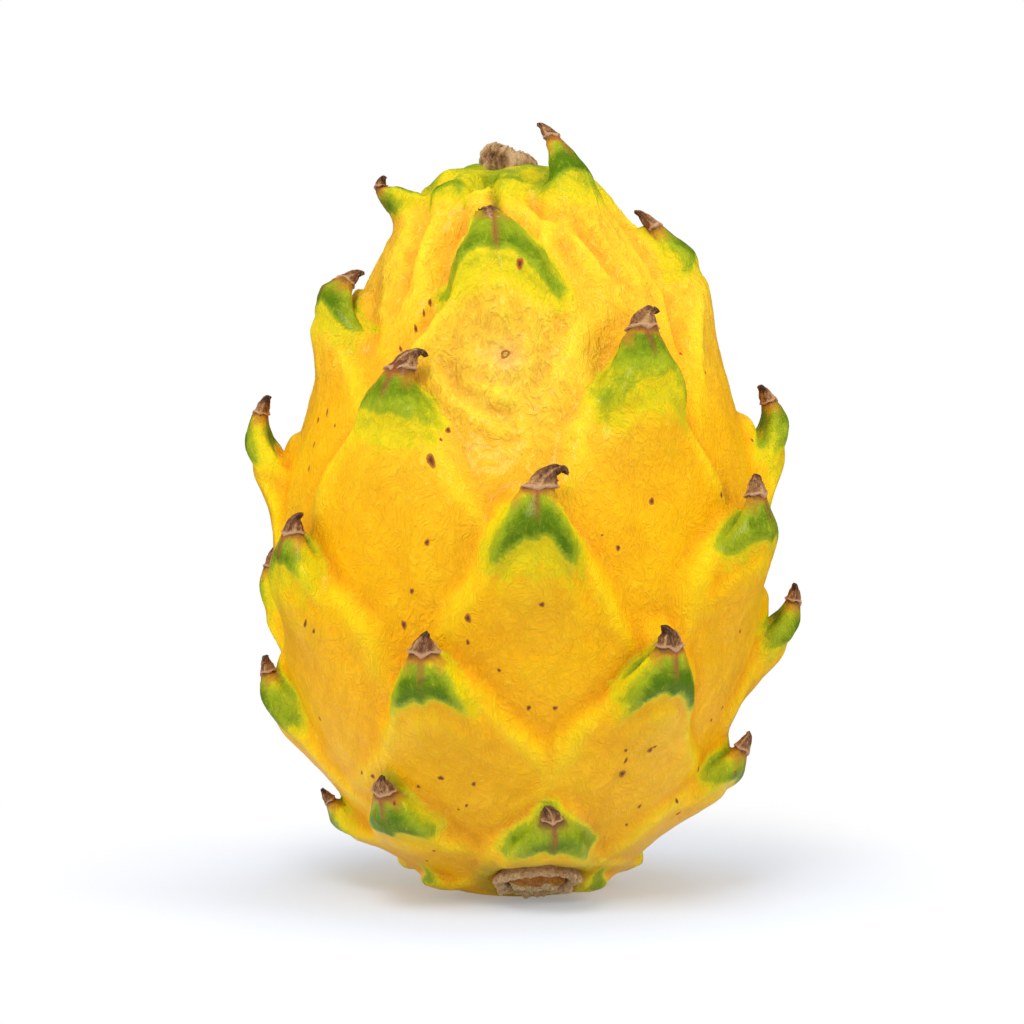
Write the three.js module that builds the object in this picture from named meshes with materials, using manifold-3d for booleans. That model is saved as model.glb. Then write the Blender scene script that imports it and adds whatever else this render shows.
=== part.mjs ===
// A whole yellow dragon fruit, standing on its blunt lower end.
// Millimetres, +Z up, the front at -Y. The origin is on the surface it stands on, near the middle of its box.
import * as THREE from "three";
import { mergeVertices } from "three/addons/utils/BufferGeometryUtils.js";
import Module from "manifold-3d";

// Driving dimensions
const BODY_HEIGHT = 126;
const CORE = new THREE.Vector3(0, 0, 60);
const GAP = 0.3;
const BODY_SIDES = 60;
const BODY_RINGS = 38;
const SCALE_SIDES = 8;
const SCALE_RINGS = 8;
const SHORTEST_EDGE = 0.12;

// Half of the bare body's outline, as radius and height: the end it stands on, the waist, the neck
const OUTLINE = [
  [0, -1.5],
  [12, 0.6],
  [20, 5.6],
  [28, 14.5],
  [34, 24.5],
  [38, 36.5],
  [40.2, 48.5],
  [40.6, 60.5],
  [39.2, 70.5],
  [36, 80.8],
  [32.2, 90.8],
  [27.2, 100.8],
  [20.5, 110.3],
  [12.9, 117.8],
  [8.5, 122.8],
  [4.5, 125.4],
  [0, BODY_HEIGHT],
].map(([radius, height]) => new THREE.Vector2(radius, height));

// The axis of the whole fruit at a few heights, as height, shift to the right, shift to the back
const AXIS = [
  [0, -0.8, -0.2],
  [66, -0.8, -0.2],
  [97, 0, 1.8],
  [127, -2.6, 4.3],
];

// The scales, from the neck down: azimuth from the front in degrees, height of the notch above its root,
// rise and stand-off of the tip from that notch, half width of the root, sideways hook of the tip,
// and where they differ: how far the outside bellies out, length of the root, fullness of the shoulders
const SCALES = [
  [39, 118.8, 9.8, 6.7, 6.8, -1, 0, 13],
  [-86, 119.8, -5.3, 9.7, 6.5, 1, -1, 8],
  [176, 117.8, 5, 5.5, 6.5, 1.5],
  [-42, 119.3, 2.2, 1.8, 5, 0, 0, 10],
  [0, 119.9, 2.4, 1.6, 4.5, 0.5, 0, 8],
  [112, 120.3, 3, 2, 5, 0, 0, 10],
  [-134, 120.3, 3, 2, 5, 0, 0, 10],
  [-7, 108, 6, 4.5, 10.5, -1.5, 0, 12, 1.6],
  [84, 108, 6.5, 4.5, 8, -1, 0.5],
  [140, 104.8, 5.5, 5, 8.5, 2],
  [-138, 103.8, 5, 5.5, 8.5, -2],
  [-68, 99.7, 4, 5, 8.5, 1, 3, 13],
  [32.6, 91.7, 6, 4.8, 9.5, 2.4],
  [-32.3, 85.3, 5.5, 5.5, 9, 2.6],
  [158, 85.8, 5, 5.5, 8.5, 2],
  [-157, 84.8, 5, 5.5, 8.5, -2],
  [99, 79.4, 4.5, 7.1, 8, -1.5, 2.4],
  [-95, 76.6, 5, 8.9, 8, 1, 0.6, 12],
  [3, 67.6, 5.5, 5, 9, 2.8],
  [58.5, 65.8, 5, 5.5, 8.5, 1.5, 1],
  [-55.3, 60.6, 4.5, 5, 8.5, 1.2],
  [128, 63.8, 4.5, 5.5, 8.5, 1.5],
  [178, 63.8, 5, 5.5, 8.5, -2],
  [-108, 53, 4.5, 5.2, 8, -2],
  [95, 48.8, 3.5, 7.2, 8, -0.5],
  [-20.4, 43.5, 4.5, 4.5, 8.5, 0.4],
  [32.7, 44.2, 4.5, 5, 8.5, -1],
  [150, 42.8, 4, 5, 8, 1.5],
  [-148, 39.8, 4, 5, 8, -1.5],
  [-87, 37.9, 3, 4.6, 8, 0.8],
  [74, 25.8, 3.8, 4.4, 7.5, 0.5, -0.8, 13],
  [120, 25.8, 3.5, 4, 7.5, 0.8],
  [178, 22.8, 3.5, 4, 7.5, -0.8],
  [-38, 21.2, 3.5, 3.5, 7.5, 0.3],
  [-127, 20.8, 3.2, 3.8, 7, 0.8],
  [9.4, 17.5, 2.5, 3, 8, -0.8],
  [-84, 16.4, 3.2, 3.1, 6, 0.5, -0.6, 11],
  [41, 5.5, 0.6, -0.3, 3.4, 0, -0.6, 7],
  [-50, 5.5, 0.6, -0.3, 3.4, 0, -0.6, 7],
  [104, 7, 0.8, 0.3, 3.8, 0, -0.4, 8],
  [155, 6, 0.8, 0.4, 4, 0, -0.4, 8],
  [-155, 6.5, 0.8, 0.4, 4, 0, -0.4, 8],
  [-110, 7, 0.8, 0.3, 3.8, 0, -0.4, 8],
];

// The cushion of skin below each scale
const CUSHION = { lift: 3.2, reach: 24, flare: 0.6, apex: 2.5, soft: 4.5 };
const CUSHION_BLEND = 5;

// Folds where the skin is drawn in: depth of the valley, its half width, and its line of azimuths and heights
const FOLDS = [
  [2.6, 1.1, [[-24, 124.3], [-20.8, 121.8], [-13.8, 119], [-10.7, 116.5], [-9, 114.3]]],
  [
    1.5,
    1.5,
    [[-11, 117.3], [6.4, 115.7], [14.4, 114.6], [19, 112.3], [20.1, 109.8], [20.8, 106.4], [22.5, 100]],
  ],
  [
    1.6,
    1.5,
    [[-6, 123.2], [1.1, 119.7], [7.7, 117.3], [16.6, 115.1], [27.9, 112], [36.4, 108.3], [42, 103.8]],
  ],
  [0.9, 1.2, [[24, 112.8], [31.1, 109.5], [36.1, 106.4], [40.5, 103.8], [43.5, 99.8]]],
  [
    2.1,
    1.8,
    [[-17, 115.8], [-28.7, 112.2], [-32.7, 110.3], [-33.1, 108], [-30.5, 101.8], [-35.1, 95.8], [-43, 90.8]],
  ],
  [1, 1, [[-32, 123.3], [-26.9, 118.6], [-26.6, 115.8], [-29.4, 113], [-37, 108.8]]],
  [
    1.4,
    1.5,
    [[-66, 122.8], [-58.7, 119.5], [-56, 116], [-53.7, 112.4], [-52.7, 108.5], [-49, 101.8], [-52, 95.8]],
  ],
  [1.6, 1.7, [[76, 112.8], [64.7, 107], [61.9, 103.5], [61.5, 100.4], [58, 93.8], [60, 86.8]]],
  [0.8, 1.3, [[52, 115.8], [57.2, 110], [55.3, 106.2], [53.2, 102.3], [50, 96.8]]],
  [1.2, 1.2, [[-24, 91.8], [-20.2, 88], [-17.2, 86.1], [-12.6, 84.7], [-8.2, 83.2], [1, 80.6]]],
  [1, 1.5, [[22, 101.8], [15.8, 97.3], [10.9, 95], [8.6, 92.4], [5.3, 89.9], [2.9, 85.8], [-2, 81.3]]],
  [2, 1.4, [[118, 123.8], [112, 118.8], [108, 112.8], [111, 105.8], [118, 98.8], [120, 90.8]]],
  [1.6, 1.6, [[152, 123.8], [158, 117.8], [156, 111.8], [160, 104.8], [166, 98.8]]],
  [1.8, 1.5, [[-150, 124.3], [-158, 118.8], [-160, 112.8], [-166, 105.8], [-163, 97.8]]],
  [1.6, 1.6, [[-112, 122.8], [-107, 116.8], [-110, 109.8], [-114, 102.8], [-118, 94.8], [-115, 87.8]]],
  [1.1, 1.3, [[88, 122.8], [92, 116.8], [90, 110.8], [96, 103.8], [104, 96.8]]],
  [1, 1.3, [[-128, 118.8], [-132, 112.8], [-130, 106.8], [-128, 98.8], [-134, 90.8]]],
  [0.9, 1.4, [[132, 116.8], [134, 110.8], [130, 103.8], [132, 96.8], [138, 88.8]]],
];
const FOLD_LIP = 0.45;
const HOLLOW = { depth: 3, radius: 5 };

// The withered flower in the hollow at the top, and the cut stem low at the front
const FLOWER_SEAT = 122.3;
const FLOWER_TILT = 16;
const FLOWER_OUTLINE = [
  [0, -1.5],
  [3.4, -1.3],
  [4.4, 0.6],
  [4.7, 2.6],
  [4.9, 4],
  [4.2, 4.9],
  [3.2, 4],
  [2, 2.8],
  [0, 2.4],
];
const FLOWER_LOBES = 5;
const FLOWER_RUFFLE = 0.45;
const STEM_AZIMUTH = 8.5;
const STEM_HEIGHT = 5.4;
const STEM_TILT = 10;
const STEM_OUTLINE = [
  [0, -2.4],
  [5, -2.2],
  [6.6, -1],
  [7.3, 0.5],
  [6.9, 1.2],
  [5.9, 1],
  [5.1, 0],
  [4.5, 0.1],
  [4.2, 1],
  [2.8, 1.6],
  [0, 1.4],
];
const STEM_SEAT = [...STEM_OUTLINE.slice(0, 4), [7.7, 6], [0, 6]];
const STEM_RUFFLE = 0.35;
const STEM_LOBES = 7;

const { degToRad, smoothstep, clamp, lerp } = THREE.MathUtils;

// The outline as a smooth curve, read two ways: radius by height, and distance from the core by polar angle
const outlineCurve = new THREE.SplineCurve(OUTLINE).getPoints(300);
const outlinePolar = outlineCurve.map((point) => {
  const rise = point.y - CORE.z;
  return [Math.atan2(point.x, rise), Math.hypot(point.x, rise)];
});

function lookUp(rows, key) {
  const last = rows.length - 1;
  const down = rows[0][0] > rows[last][0];
  let index = rows.findIndex(([at]) => (down ? at <= key : at >= key));
  if (index < 0) index = last;
  if (index === 0) return rows[0][1];
  const [before, after] = [rows[index - 1], rows[index]];
  return lerp(before[1], after[1], clamp((key - before[0]) / (after[0] - before[0]), 0, 1));
}

const outlineByHeight = outlineCurve.map((point) => [point.y, point.x]);
const radiusAt = (height) => lookUp(outlineByHeight, height);

// A place on the bare body with its own directions: across, up along the skin, and out
function siteAt(azimuthDegrees, height) {
  const azimuth = degToRad(azimuthDegrees);
  const slope = (radiusAt(height + 1) - radiusAt(height - 1)) / 2;
  const outward = new THREE.Vector3(Math.sin(azimuth), -Math.cos(azimuth), 0);
  const point = outward.clone().multiplyScalar(radiusAt(height)).setZ(height);
  const across = new THREE.Vector3(Math.cos(azimuth), Math.sin(azimuth), 0);
  const up = outward.clone().multiplyScalar(slope).setZ(1).normalize();
  const out = new THREE.Vector3().crossVectors(across, up);
  return { point, across, up, out };
}

const scaleSites = SCALES.map((row) => {
  const [azimuth, height, rise, standOff, halfWidth, hook, ...rest] = row;
  const [belly = 0, root = 15, fullness = 1] = rest;
  const lift = CUSHION.lift * clamp(halfWidth / 8, 0.5, 1.1);
  const place = siteAt(azimuth, height);
  return { ...place, azimuth, height, rise, standOff, halfWidth, hook, belly, root, fullness, lift };
});

// Height of one scale's cushion at a point of the bare body: a wavy tent that widens downwards and sinks away
function cushionAt(site, bare) {
  const offset = bare.clone().sub(site.point);
  if (offset.length() > 2.4 * CUSHION.reach || offset.dot(site.out) < -14) return 0;
  const [across, rise] = [offset.dot(site.across), offset.dot(site.up)];
  const slow = 1.5 * Math.sin(0.17 * rise + 0.9 * site.azimuth);
  const quick = 0.9 * Math.sin(0.35 * rise + 1.7 * site.height);
  const u = across + slow + quick;
  const below = CUSHION.apex - rise - 1.6 * Math.sin(0.19 * u + 1.1 * site.azimuth);
  const halfWidth = 0.45 * site.halfWidth + CUSHION.flare * Math.max(below, 0);
  const inside = smoothstep(halfWidth - Math.abs(u), -CUSHION.soft / 2, CUSHION.soft);
  const top = smoothstep(below, -3, 2);
  const fade = Math.exp(-((below / CUSHION.reach) ** 2));
  return site.lift * inside * top * fade;
}

const folds = FOLDS.map(([depth, halfWidth, line]) => {
  const knots = line.map(([azimuth, height]) => siteAt(azimuth, height).point);
  const curve = new THREE.CatmullRomCurve3(knots, false, "catmullrom", 0.5);
  return { depth, halfWidth, points: curve.getPoints(4 * (knots.length - 1)) };
});

// A fold's effect at a point of the bare body: a valley with a soft lip on each side, fading at both ends
function foldAt({ depth, halfWidth, points }, bare) {
  const nearest = new THREE.Vector3();
  const segment = new THREE.Line3();
  let gap = Infinity;
  let share = 0;
  for (let i = 0; i < points.length - 1; i++) {
    segment.set(points[i], points[i + 1]).closestPointToPoint(bare, true, nearest);
    const away = nearest.distanceTo(bare);
    if (away < gap) {
      gap = away;
      share = (i + segment.closestPointToPointParameter(bare, true)) / (points.length - 1);
    }
  }
  if (gap > 6 * halfWidth) return 0;
  const ends = smoothstep(share, 0, 0.2) * smoothstep(1 - share, 0, 0.25);
  const valley = Math.exp(-((gap / halfWidth) ** 2));
  const lips = Math.exp(-(((gap - 2.1 * halfWidth) / (1.1 * halfWidth)) ** 2));
  return depth * (FOLD_LIP * lips - valley) * ends;
}

// Slow unevenness, so that no two sides are alike
function swellAt(bare) {
  const azimuth = Math.atan2(bare.x, -bare.y);
  const broad = 0.5 * Math.sin(2 * azimuth + 1.3 + 0.03 * bare.z);
  return broad + 0.4 * Math.sin(3 * azimuth - 0.05 * bare.z + 0.7);
}

function skinPoint(direction) {
  const polar = Math.atan2(Math.hypot(direction.x, direction.y), direction.z);
  const bare = direction.clone().multiplyScalar(lookUp(outlinePolar, polar)).add(CORE);
  const powers = scaleSites.map((site) => cushionAt(site, bare) ** CUSHION_BLEND);
  const cushions = powers.reduce((sum, power) => sum + power, 0) ** (1 / CUSHION_BLEND);
  const creases = folds.reduce((sum, fold) => sum + foldAt(fold, bare), 0);
  const rim = Math.hypot(bare.x, bare.y) / HOLLOW.radius;
  const hollow = bare.z > CORE.z ? HOLLOW.depth * Math.exp(-rim * rim) : 0;
  const ends = smoothstep(bare.z, 2, 14);
  return bare.addScaledVector(direction, ends * (cushions + swellAt(bare)) + creases - hollow);
}

// A new geometry with only welded positions, each moved by a rule
function reshaped(source, rule) {
  const geometry = source.clone();
  geometry.deleteAttribute("normal");
  geometry.deleteAttribute("uv");
  const welded = mergeVertices(geometry, 1e-4);
  const position = welded.getAttribute("position");
  const point = new THREE.Vector3();
  for (let i = 0; i < position.count; i++) {
    point.fromBufferAttribute(position, i);
    const moved = rule(point);
    position.setXYZ(i, moved.x, moved.y, moved.z);
  }
  return welded;
}

// SphereGeometry runs from pole to pole along Y, so its Y is turned to the body's Z
function bodyGeometry() {
  const ball = new THREE.SphereGeometry(1, BODY_SIDES, BODY_RINGS).rotateX(Math.PI / 2);
  return reshaped(ball, (point) => skinPoint(point.clone().normalize()));
}

// Half width and half thickness along a scale, from the root to the tip, as shares of the root's
const WIDTH_ALONG = [
  [0, 0],
  [0.06, 1.1],
  [0.2, 1.08],
  [0.42, 0.88],
  [0.6, 0.69],
  [0.72, 0.53],
  [0.82, 0.38],
  [0.9, 0.28],
  [0.96, 0.2],
  [1, 0],
];
const THICKNESS_ALONG = [
  [0, 0],
  [0.06, 1.2],
  [0.2, 2],
  [0.4, 2.8],
  [0.55, 2.5],
  [0.7, 1.9],
  [0.82, 1.4],
  [0.92, 1],
  [1, 0],
];
const CUPPING = 0.045;
const HOOK_FROM = 0.78;

// One scale: a tapered, cupped horn that leaves its cushion and turns upwards
function scaleGeometry(site) {
  const { rise, standOff, halfWidth, hook, belly, root, fullness, lift } = site;
  const reach = halfWidth / 8;
  const spine = new THREE.CubicBezierCurve(
    new THREE.Vector2(-root * reach, -4),
    new THREE.Vector2(-0.6 * root * reach, 1.5 + 0.7 * lift + 0.7 * belly),
    new THREE.Vector2(Math.min(rise, 2) - 4, standOff + 0.6 + belly),
    new THREE.Vector2(rise, standOff),
  );
  const ball = new THREE.SphereGeometry(1, SCALE_SIDES, SCALE_RINGS);
  return reshaped(ball, (point) => {
    const along = Math.acos(clamp(point.y, -1, 1)) / Math.PI;
    const girth = Math.hypot(point.x, point.z) || 1;
    const width = halfWidth * lookUp(WIDTH_ALONG, along) ** (1 / fullness) * (point.x / girth);
    const curl = Math.max(0, (along - HOOK_FROM) / (1 - HOOK_FROM)) ** 2;
    const centre = spine.getPoint(along);
    const forward = spine.getTangent(along);
    const raise = reach * lookUp(THICKNESS_ALONG, along) * (-point.z / girth) - CUPPING * width * width;
    const v = centre.x - forward.y * raise;
    const n = centre.y + forward.x * raise;
    return site.point
      .clone()
      .addScaledVector(site.across, width + hook * curl)
      .addScaledVector(site.up, v)
      .addScaledVector(site.out, n);
  });
}

// A ruffled lathe piece, whose outside can be grown by a clearance
function ruffled(outline, lobes, ruffle, sides, clearance) {
  const rows = outline.map(([radius, height]) => new THREE.Vector2(radius, height));
  const lathe = new THREE.LatheGeometry(rows, sides).rotateX(Math.PI / 2);
  const even = reshaped(lathe, (point) => {
    const turn = Math.atan2(point.y, point.x);
    const radius = Math.hypot(point.x, point.y);
    const wave = Math.sin(lobes * turn) + 0.6 * Math.sin((lobes + 3) * turn + 1);
    const rise = radius > 3 ? ruffle * wave : 0;
    const spread = 1 + rise / Math.max(radius, 3);
    return new THREE.Vector3(point.x * spread, point.y * spread, point.z + 0.6 * rise);
  });
  even.computeVertexNormals();
  const position = even.getAttribute("position");
  const normal = even.getAttribute("normal");
  const step = new THREE.Vector3();
  for (let i = 0; i < position.count; i++) {
    step.fromBufferAttribute(normal, i).multiplyScalar(clearance);
    position.setXYZ(i, position.getX(i) + step.x, position.getY(i) + step.y, position.getZ(i) + step.z);
  }
  return even;
}

function flowerGeometry(clearance) {
  const ring = ruffled(FLOWER_OUTLINE, FLOWER_LOBES, FLOWER_RUFFLE, 26, clearance);
  return ring.rotateY(degToRad(FLOWER_TILT)).translate(0, 0, FLOWER_SEAT);
}

function stemGeometry(outline, clearance) {
  const site = siteAt(STEM_AZIMUTH, STEM_HEIGHT);
  const placed = new THREE.Matrix4().makeBasis(site.across, site.up, site.out).setPosition(site.point);
  const scar = ruffled(outline, STEM_LOBES, STEM_RUFFLE, 28, clearance);
  return scar.rotateX(degToRad(STEM_TILT)).applyMatrix4(placed);
}

const wasm = await Module();
wasm.setup();

function solidFrom(geometry) {
  const clean = geometry.clone();
  clean.deleteAttribute("normal");
  clean.deleteAttribute("uv");
  const welded = mergeVertices(clean, 1e-4);
  const mesh = new wasm.Mesh({
    numProp: 3,
    vertProperties: new Float32Array(welded.getAttribute("position").array),
    triVerts: new Uint32Array(welded.index.array),
  });
  return new wasm.Manifold(mesh);
}

function geometryFrom(solid) {
  const mesh = solid.getMesh();
  const geometry = new THREE.BufferGeometry();
  geometry.setAttribute("position", new THREE.BufferAttribute(mesh.vertProperties, 3));
  geometry.setIndex(new THREE.BufferAttribute(mesh.triVerts, 1));
  return geometry;
}

// The axis is bent a little to the side and back, and everything on it goes along
function leaned(geometry) {
  return reshaped(geometry, (point) => {
    const moved = point.clone().add(new THREE.Vector3(AXIS[0][1], AXIS[0][2], 0));
    for (let i = 1; i < AXIS.length; i++) {
      const share = smoothstep(point.z, AXIS[i - 1][0], AXIS[i][0]);
      moved.x += share * (AXIS[i][1] - AXIS[i - 1][1]);
      moved.y += share * (AXIS[i][2] - AXIS[i - 1][2]);
    }
    return moved;
  });
}

function fruitGeometry() {
  const scales = scaleSites.map((site) => solidFrom(scaleGeometry(site)));
  const grown = scales.reduce((sum, scale) => sum.add(scale), solidFrom(bodyGeometry()));
  const topped = grown.subtract(solidFrom(flowerGeometry(GAP)));
  const seated = topped.subtract(solidFrom(stemGeometry(STEM_SEAT, GAP)));
  const surface = new THREE.BoxGeometry(120, 120, 20).translate(0, 0, -10);
  const standing = seated.simplify(SHORTEST_EDGE).subtract(solidFrom(surface));
  const pieces = standing.decompose().sort((a, b) => b.volume() - a.volume());
  return geometryFrom(pieces[0]);
}

function sub(name, geometry, colour, roughness) {
  const material = new THREE.MeshStandardMaterial({ color: colour, roughness, metalness: 0 });
  const mesh = new THREE.Mesh(leaned(geometry), material);
  mesh.name = name;
  return mesh;
}

const dragonFruit = new THREE.Group();
dragonFruit.add(sub("fruit", fruitGeometry(), 0xf2bd18, 0.42));
dragonFruit.add(sub("withered_flower", flowerGeometry(0), 0x8a6a40, 0.9));
dragonFruit.add(sub("cut_stem", stemGeometry(STEM_OUTLINE, 0), 0xa07c4c, 0.9));

export default dragonFruit;
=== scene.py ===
"""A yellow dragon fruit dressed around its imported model.

The rind, with its cushions, scales and folds, is one surface drawn from formulas in millimetres.
The dry scale tips, the withered flower and the cut stem are pieces of their own on it.
"""

import logging
import math
from dataclasses import dataclass, field
from enum import Enum

import bpy
import numpy as np
from bpy.types import Material, Node, NodeSocket, NodeTree, Object
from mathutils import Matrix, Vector
from mathutils.bvhtree import BVHTree

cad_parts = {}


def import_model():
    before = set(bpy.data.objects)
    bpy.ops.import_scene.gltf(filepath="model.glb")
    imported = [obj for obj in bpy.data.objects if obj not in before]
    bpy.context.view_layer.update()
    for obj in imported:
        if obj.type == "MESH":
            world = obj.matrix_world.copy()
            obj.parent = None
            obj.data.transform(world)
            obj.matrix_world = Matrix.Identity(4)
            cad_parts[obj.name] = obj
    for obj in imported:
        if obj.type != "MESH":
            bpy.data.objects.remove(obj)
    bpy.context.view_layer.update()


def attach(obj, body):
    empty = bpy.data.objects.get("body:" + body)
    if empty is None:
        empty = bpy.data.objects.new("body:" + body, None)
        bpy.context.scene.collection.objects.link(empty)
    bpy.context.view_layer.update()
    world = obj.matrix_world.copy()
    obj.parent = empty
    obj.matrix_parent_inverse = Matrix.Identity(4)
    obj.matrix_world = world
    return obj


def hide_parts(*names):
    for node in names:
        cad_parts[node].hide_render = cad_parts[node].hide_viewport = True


MM = 0.001
BODY = "root"
LOG = logging.getLogger("dragon_fruit")
Array = np.ndarray


def smoothstep(x: Array, low: float, high: float) -> Array:
    """A smooth rise from 0 at low to 1 at high."""
    t = np.clip((x - low) / (high - low), 0.0, 1.0)
    return t * t * (3.0 - 2.0 * t)


def bell(x: Array | float, middle: float, width: float) -> Array | float:
    """A smooth bump that is 1 at the middle."""
    return np.exp(-(((x - middle) / width) ** 2))


def smooth_union(a: Array, b: Array, reach: Array | float) -> Array:
    """The lower of two distances, rounded where they meet.

    Args:
        a: Distances to the first shape.
        b: Distances to the second shape.
        reach: How far from the seam the rounding starts.

    Returns:
        Distances to the joined shape.
    """
    share = np.clip(0.5 + 0.5 * (b - a) / reach, 0.0, 1.0)
    return b + (a - b) * share - reach * share * (1.0 - share)


def lattice_noise(points: Array, seed: int) -> Array:
    """Smooth random values between -1 and 1, one lattice cell to a unit.

    Args:
        points: Positions, one row each.
        seed: Picks one of many fields.

    Returns:
        One value for each row.
    """
    table = np.random.default_rng(seed).random(4096).astype(np.float32) * 2.0 - 1.0
    cell = np.floor(points).astype(np.int64)
    part = points - cell
    part = part * part * (3.0 - 2.0 * part)
    total = np.zeros(len(points))
    for corner in range(8):
        step = np.array([corner & 1, corner >> 1 & 1, corner >> 2 & 1])
        at = cell + step
        key = (at[:, 0] * 73856093) ^ (at[:, 1] * 19349663) ^ (at[:, 2] * 83492791)
        weight = np.prod(np.where(step == 1, part, 1.0 - part), axis=1)
        total += weight * table[key & 4095]
    return total


def ridges(points: Array, seed: int) -> Array:
    """Noise folded into thin crests, from 0 in the flats to 1 on a crest."""
    return 1.0 - np.abs(lattice_noise(points, seed))


def smooth_line(knots: Array, steps: int) -> Array:
    """A Catmull-Rom line through all the knots.

    Args:
        knots: The points that it passes through, one row each.
        steps: Points to a stretch between knots.

    Returns:
        The points of the line.
    """
    padded = np.vstack([knots[:1], knots, knots[-1:]])
    t = np.linspace(0.0, 1.0, steps, endpoint=False)[:, None]
    spans = []
    for p0, p1, p2, p3 in zip(padded, padded[1:], padded[2:], padded[3:]):
        v1, v2 = (p2 - p0) / 2.0, (p3 - p1) / 2.0
        cubic, square = 2 * p1 - 2 * p2 + v1 + v2, 3 * p2 - 3 * p1 - 2 * v1 - v2
        spans.append(cubic * t**3 + square * t**2 + v1 * t + p1)
    return np.vstack([*spans, knots[-1:]])


@dataclass(frozen=True)
class ScaleSpec:
    """One scale: where it grows and how it stands, in degrees and millimetres."""

    azimuth: float
    height: float
    rise: float
    stand_off: float
    half_width: float
    hook: float
    belly: float = 0.0
    root: float = 15.0
    dry: bool = True
    fullness: float = 1.0


SCALES = tuple(
    ScaleSpec(*row)
    for row in (
        (39, 118.8, 9.8, 6.7, 6.8, -1, 0, 13), (-86, 119.8, -5.3, 9.7, 6.5, 1, -1, 8),
        (176, 117.8, 5, 5.5, 6.5, 1.5), (-42, 119.3, 2.2, 1.8, 5, 0, 0, 10, False),
        (0, 119.9, 2.4, 1.6, 4.5, 0.5, 0, 8, False), (112, 120.3, 3, 2, 5, 0, 0, 10, False),
        (-134, 120.3, 3, 2, 5, 0, 0, 10, False), (-7, 108, 6, 4.5, 10.5, -1.5, 0, 12, True, 1.6),
        (84, 108, 6.5, 4.5, 8, -1, 0.5), (140, 104.8, 5.5, 5, 8.5, 2), (-138, 103.8, 5, 5.5, 8.5, -2),
        (-68, 99.7, 4, 5, 8.5, 1, 3, 13), (32.6, 91.7, 6, 4.8, 9.5, 2.4),
        (-32.3, 85.3, 5.5, 5.5, 9, 2.6), (158, 85.8, 5, 5.5, 8.5, 2), (-157, 84.8, 5, 5.5, 8.5, -2),
        (99, 79.4, 4.5, 7.1, 8, -1.5, 2.4), (-95, 76.6, 5, 8.9, 8, 1, 0.6, 12),
        (3, 67.6, 5.5, 5, 9, 2.8), (58.5, 65.8, 5, 5.5, 8.5, 1.5, 1), (-55.3, 60.6, 4.5, 5, 8.5, 1.2),
        (128, 63.8, 4.5, 5.5, 8.5, 1.5), (178, 63.8, 5, 5.5, 8.5, -2), (-108, 53, 4.5, 5.2, 8, -2),
        (95, 48.8, 3.5, 7.2, 8, -0.5), (-20.4, 43.5, 4.5, 4.5, 8.5, 0.4), (32.7, 44.2, 4.5, 5, 8.5, -1),
        (150, 42.8, 4, 5, 8, 1.5), (-148, 39.8, 4, 5, 8, -1.5), (-87, 37.9, 3, 4.6, 8, 0.8),
        (74, 25.8, 3.8, 4.4, 7.5, 0.5, -0.8, 13), (120, 25.8, 3.5, 4, 7.5, 0.8),
        (178, 22.8, 3.5, 4, 7.5, -0.8), (-38, 21.2, 3.5, 3.5, 7.5, 0.3), (-127, 20.8, 3.2, 3.8, 7, 0.8),
        (9.4, 17.5, 2.5, 3, 8, -0.8), (-84, 16.4, 3.2, 3.1, 6, 0.5, -0.6, 11),
        (41, 5.5, 0.6, -0.3, 3.4, 0, -0.6, 7, False), (-50, 5.5, 0.6, -0.3, 3.4, 0, -0.6, 7, False),
        (104, 7, 0.8, 0.3, 3.8, 0, -0.4, 8, False), (155, 6, 0.8, 0.4, 4, 0, -0.4, 8, False),
        (-155, 6.5, 0.8, 0.4, 4, 0, -0.4, 8, False), (-110, 7, 0.8, 0.3, 3.8, 0, -0.4, 8, False),
    )
)


@dataclass(frozen=True)
class Site:
    """A place on the bare body, with its directions across, up along the skin, and out."""

    point: Array
    across: Array
    up: Array
    out: Array

    def local(self, points: Array) -> tuple[Array, Array, Array]:
        """Coordinates of points across, up and out from this place."""
        offset = points - self.point
        return offset @ self.across, offset @ self.up, offset @ self.out

    def world(self, u: Array, v: Array, n: Array) -> Array:
        """Points from their coordinates across, up and out."""
        parts = (np.multiply.outer(a, d) for a, d in ((u, self.across), (v, self.up), (n, self.out)))
        return self.point + sum(parts)


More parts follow.
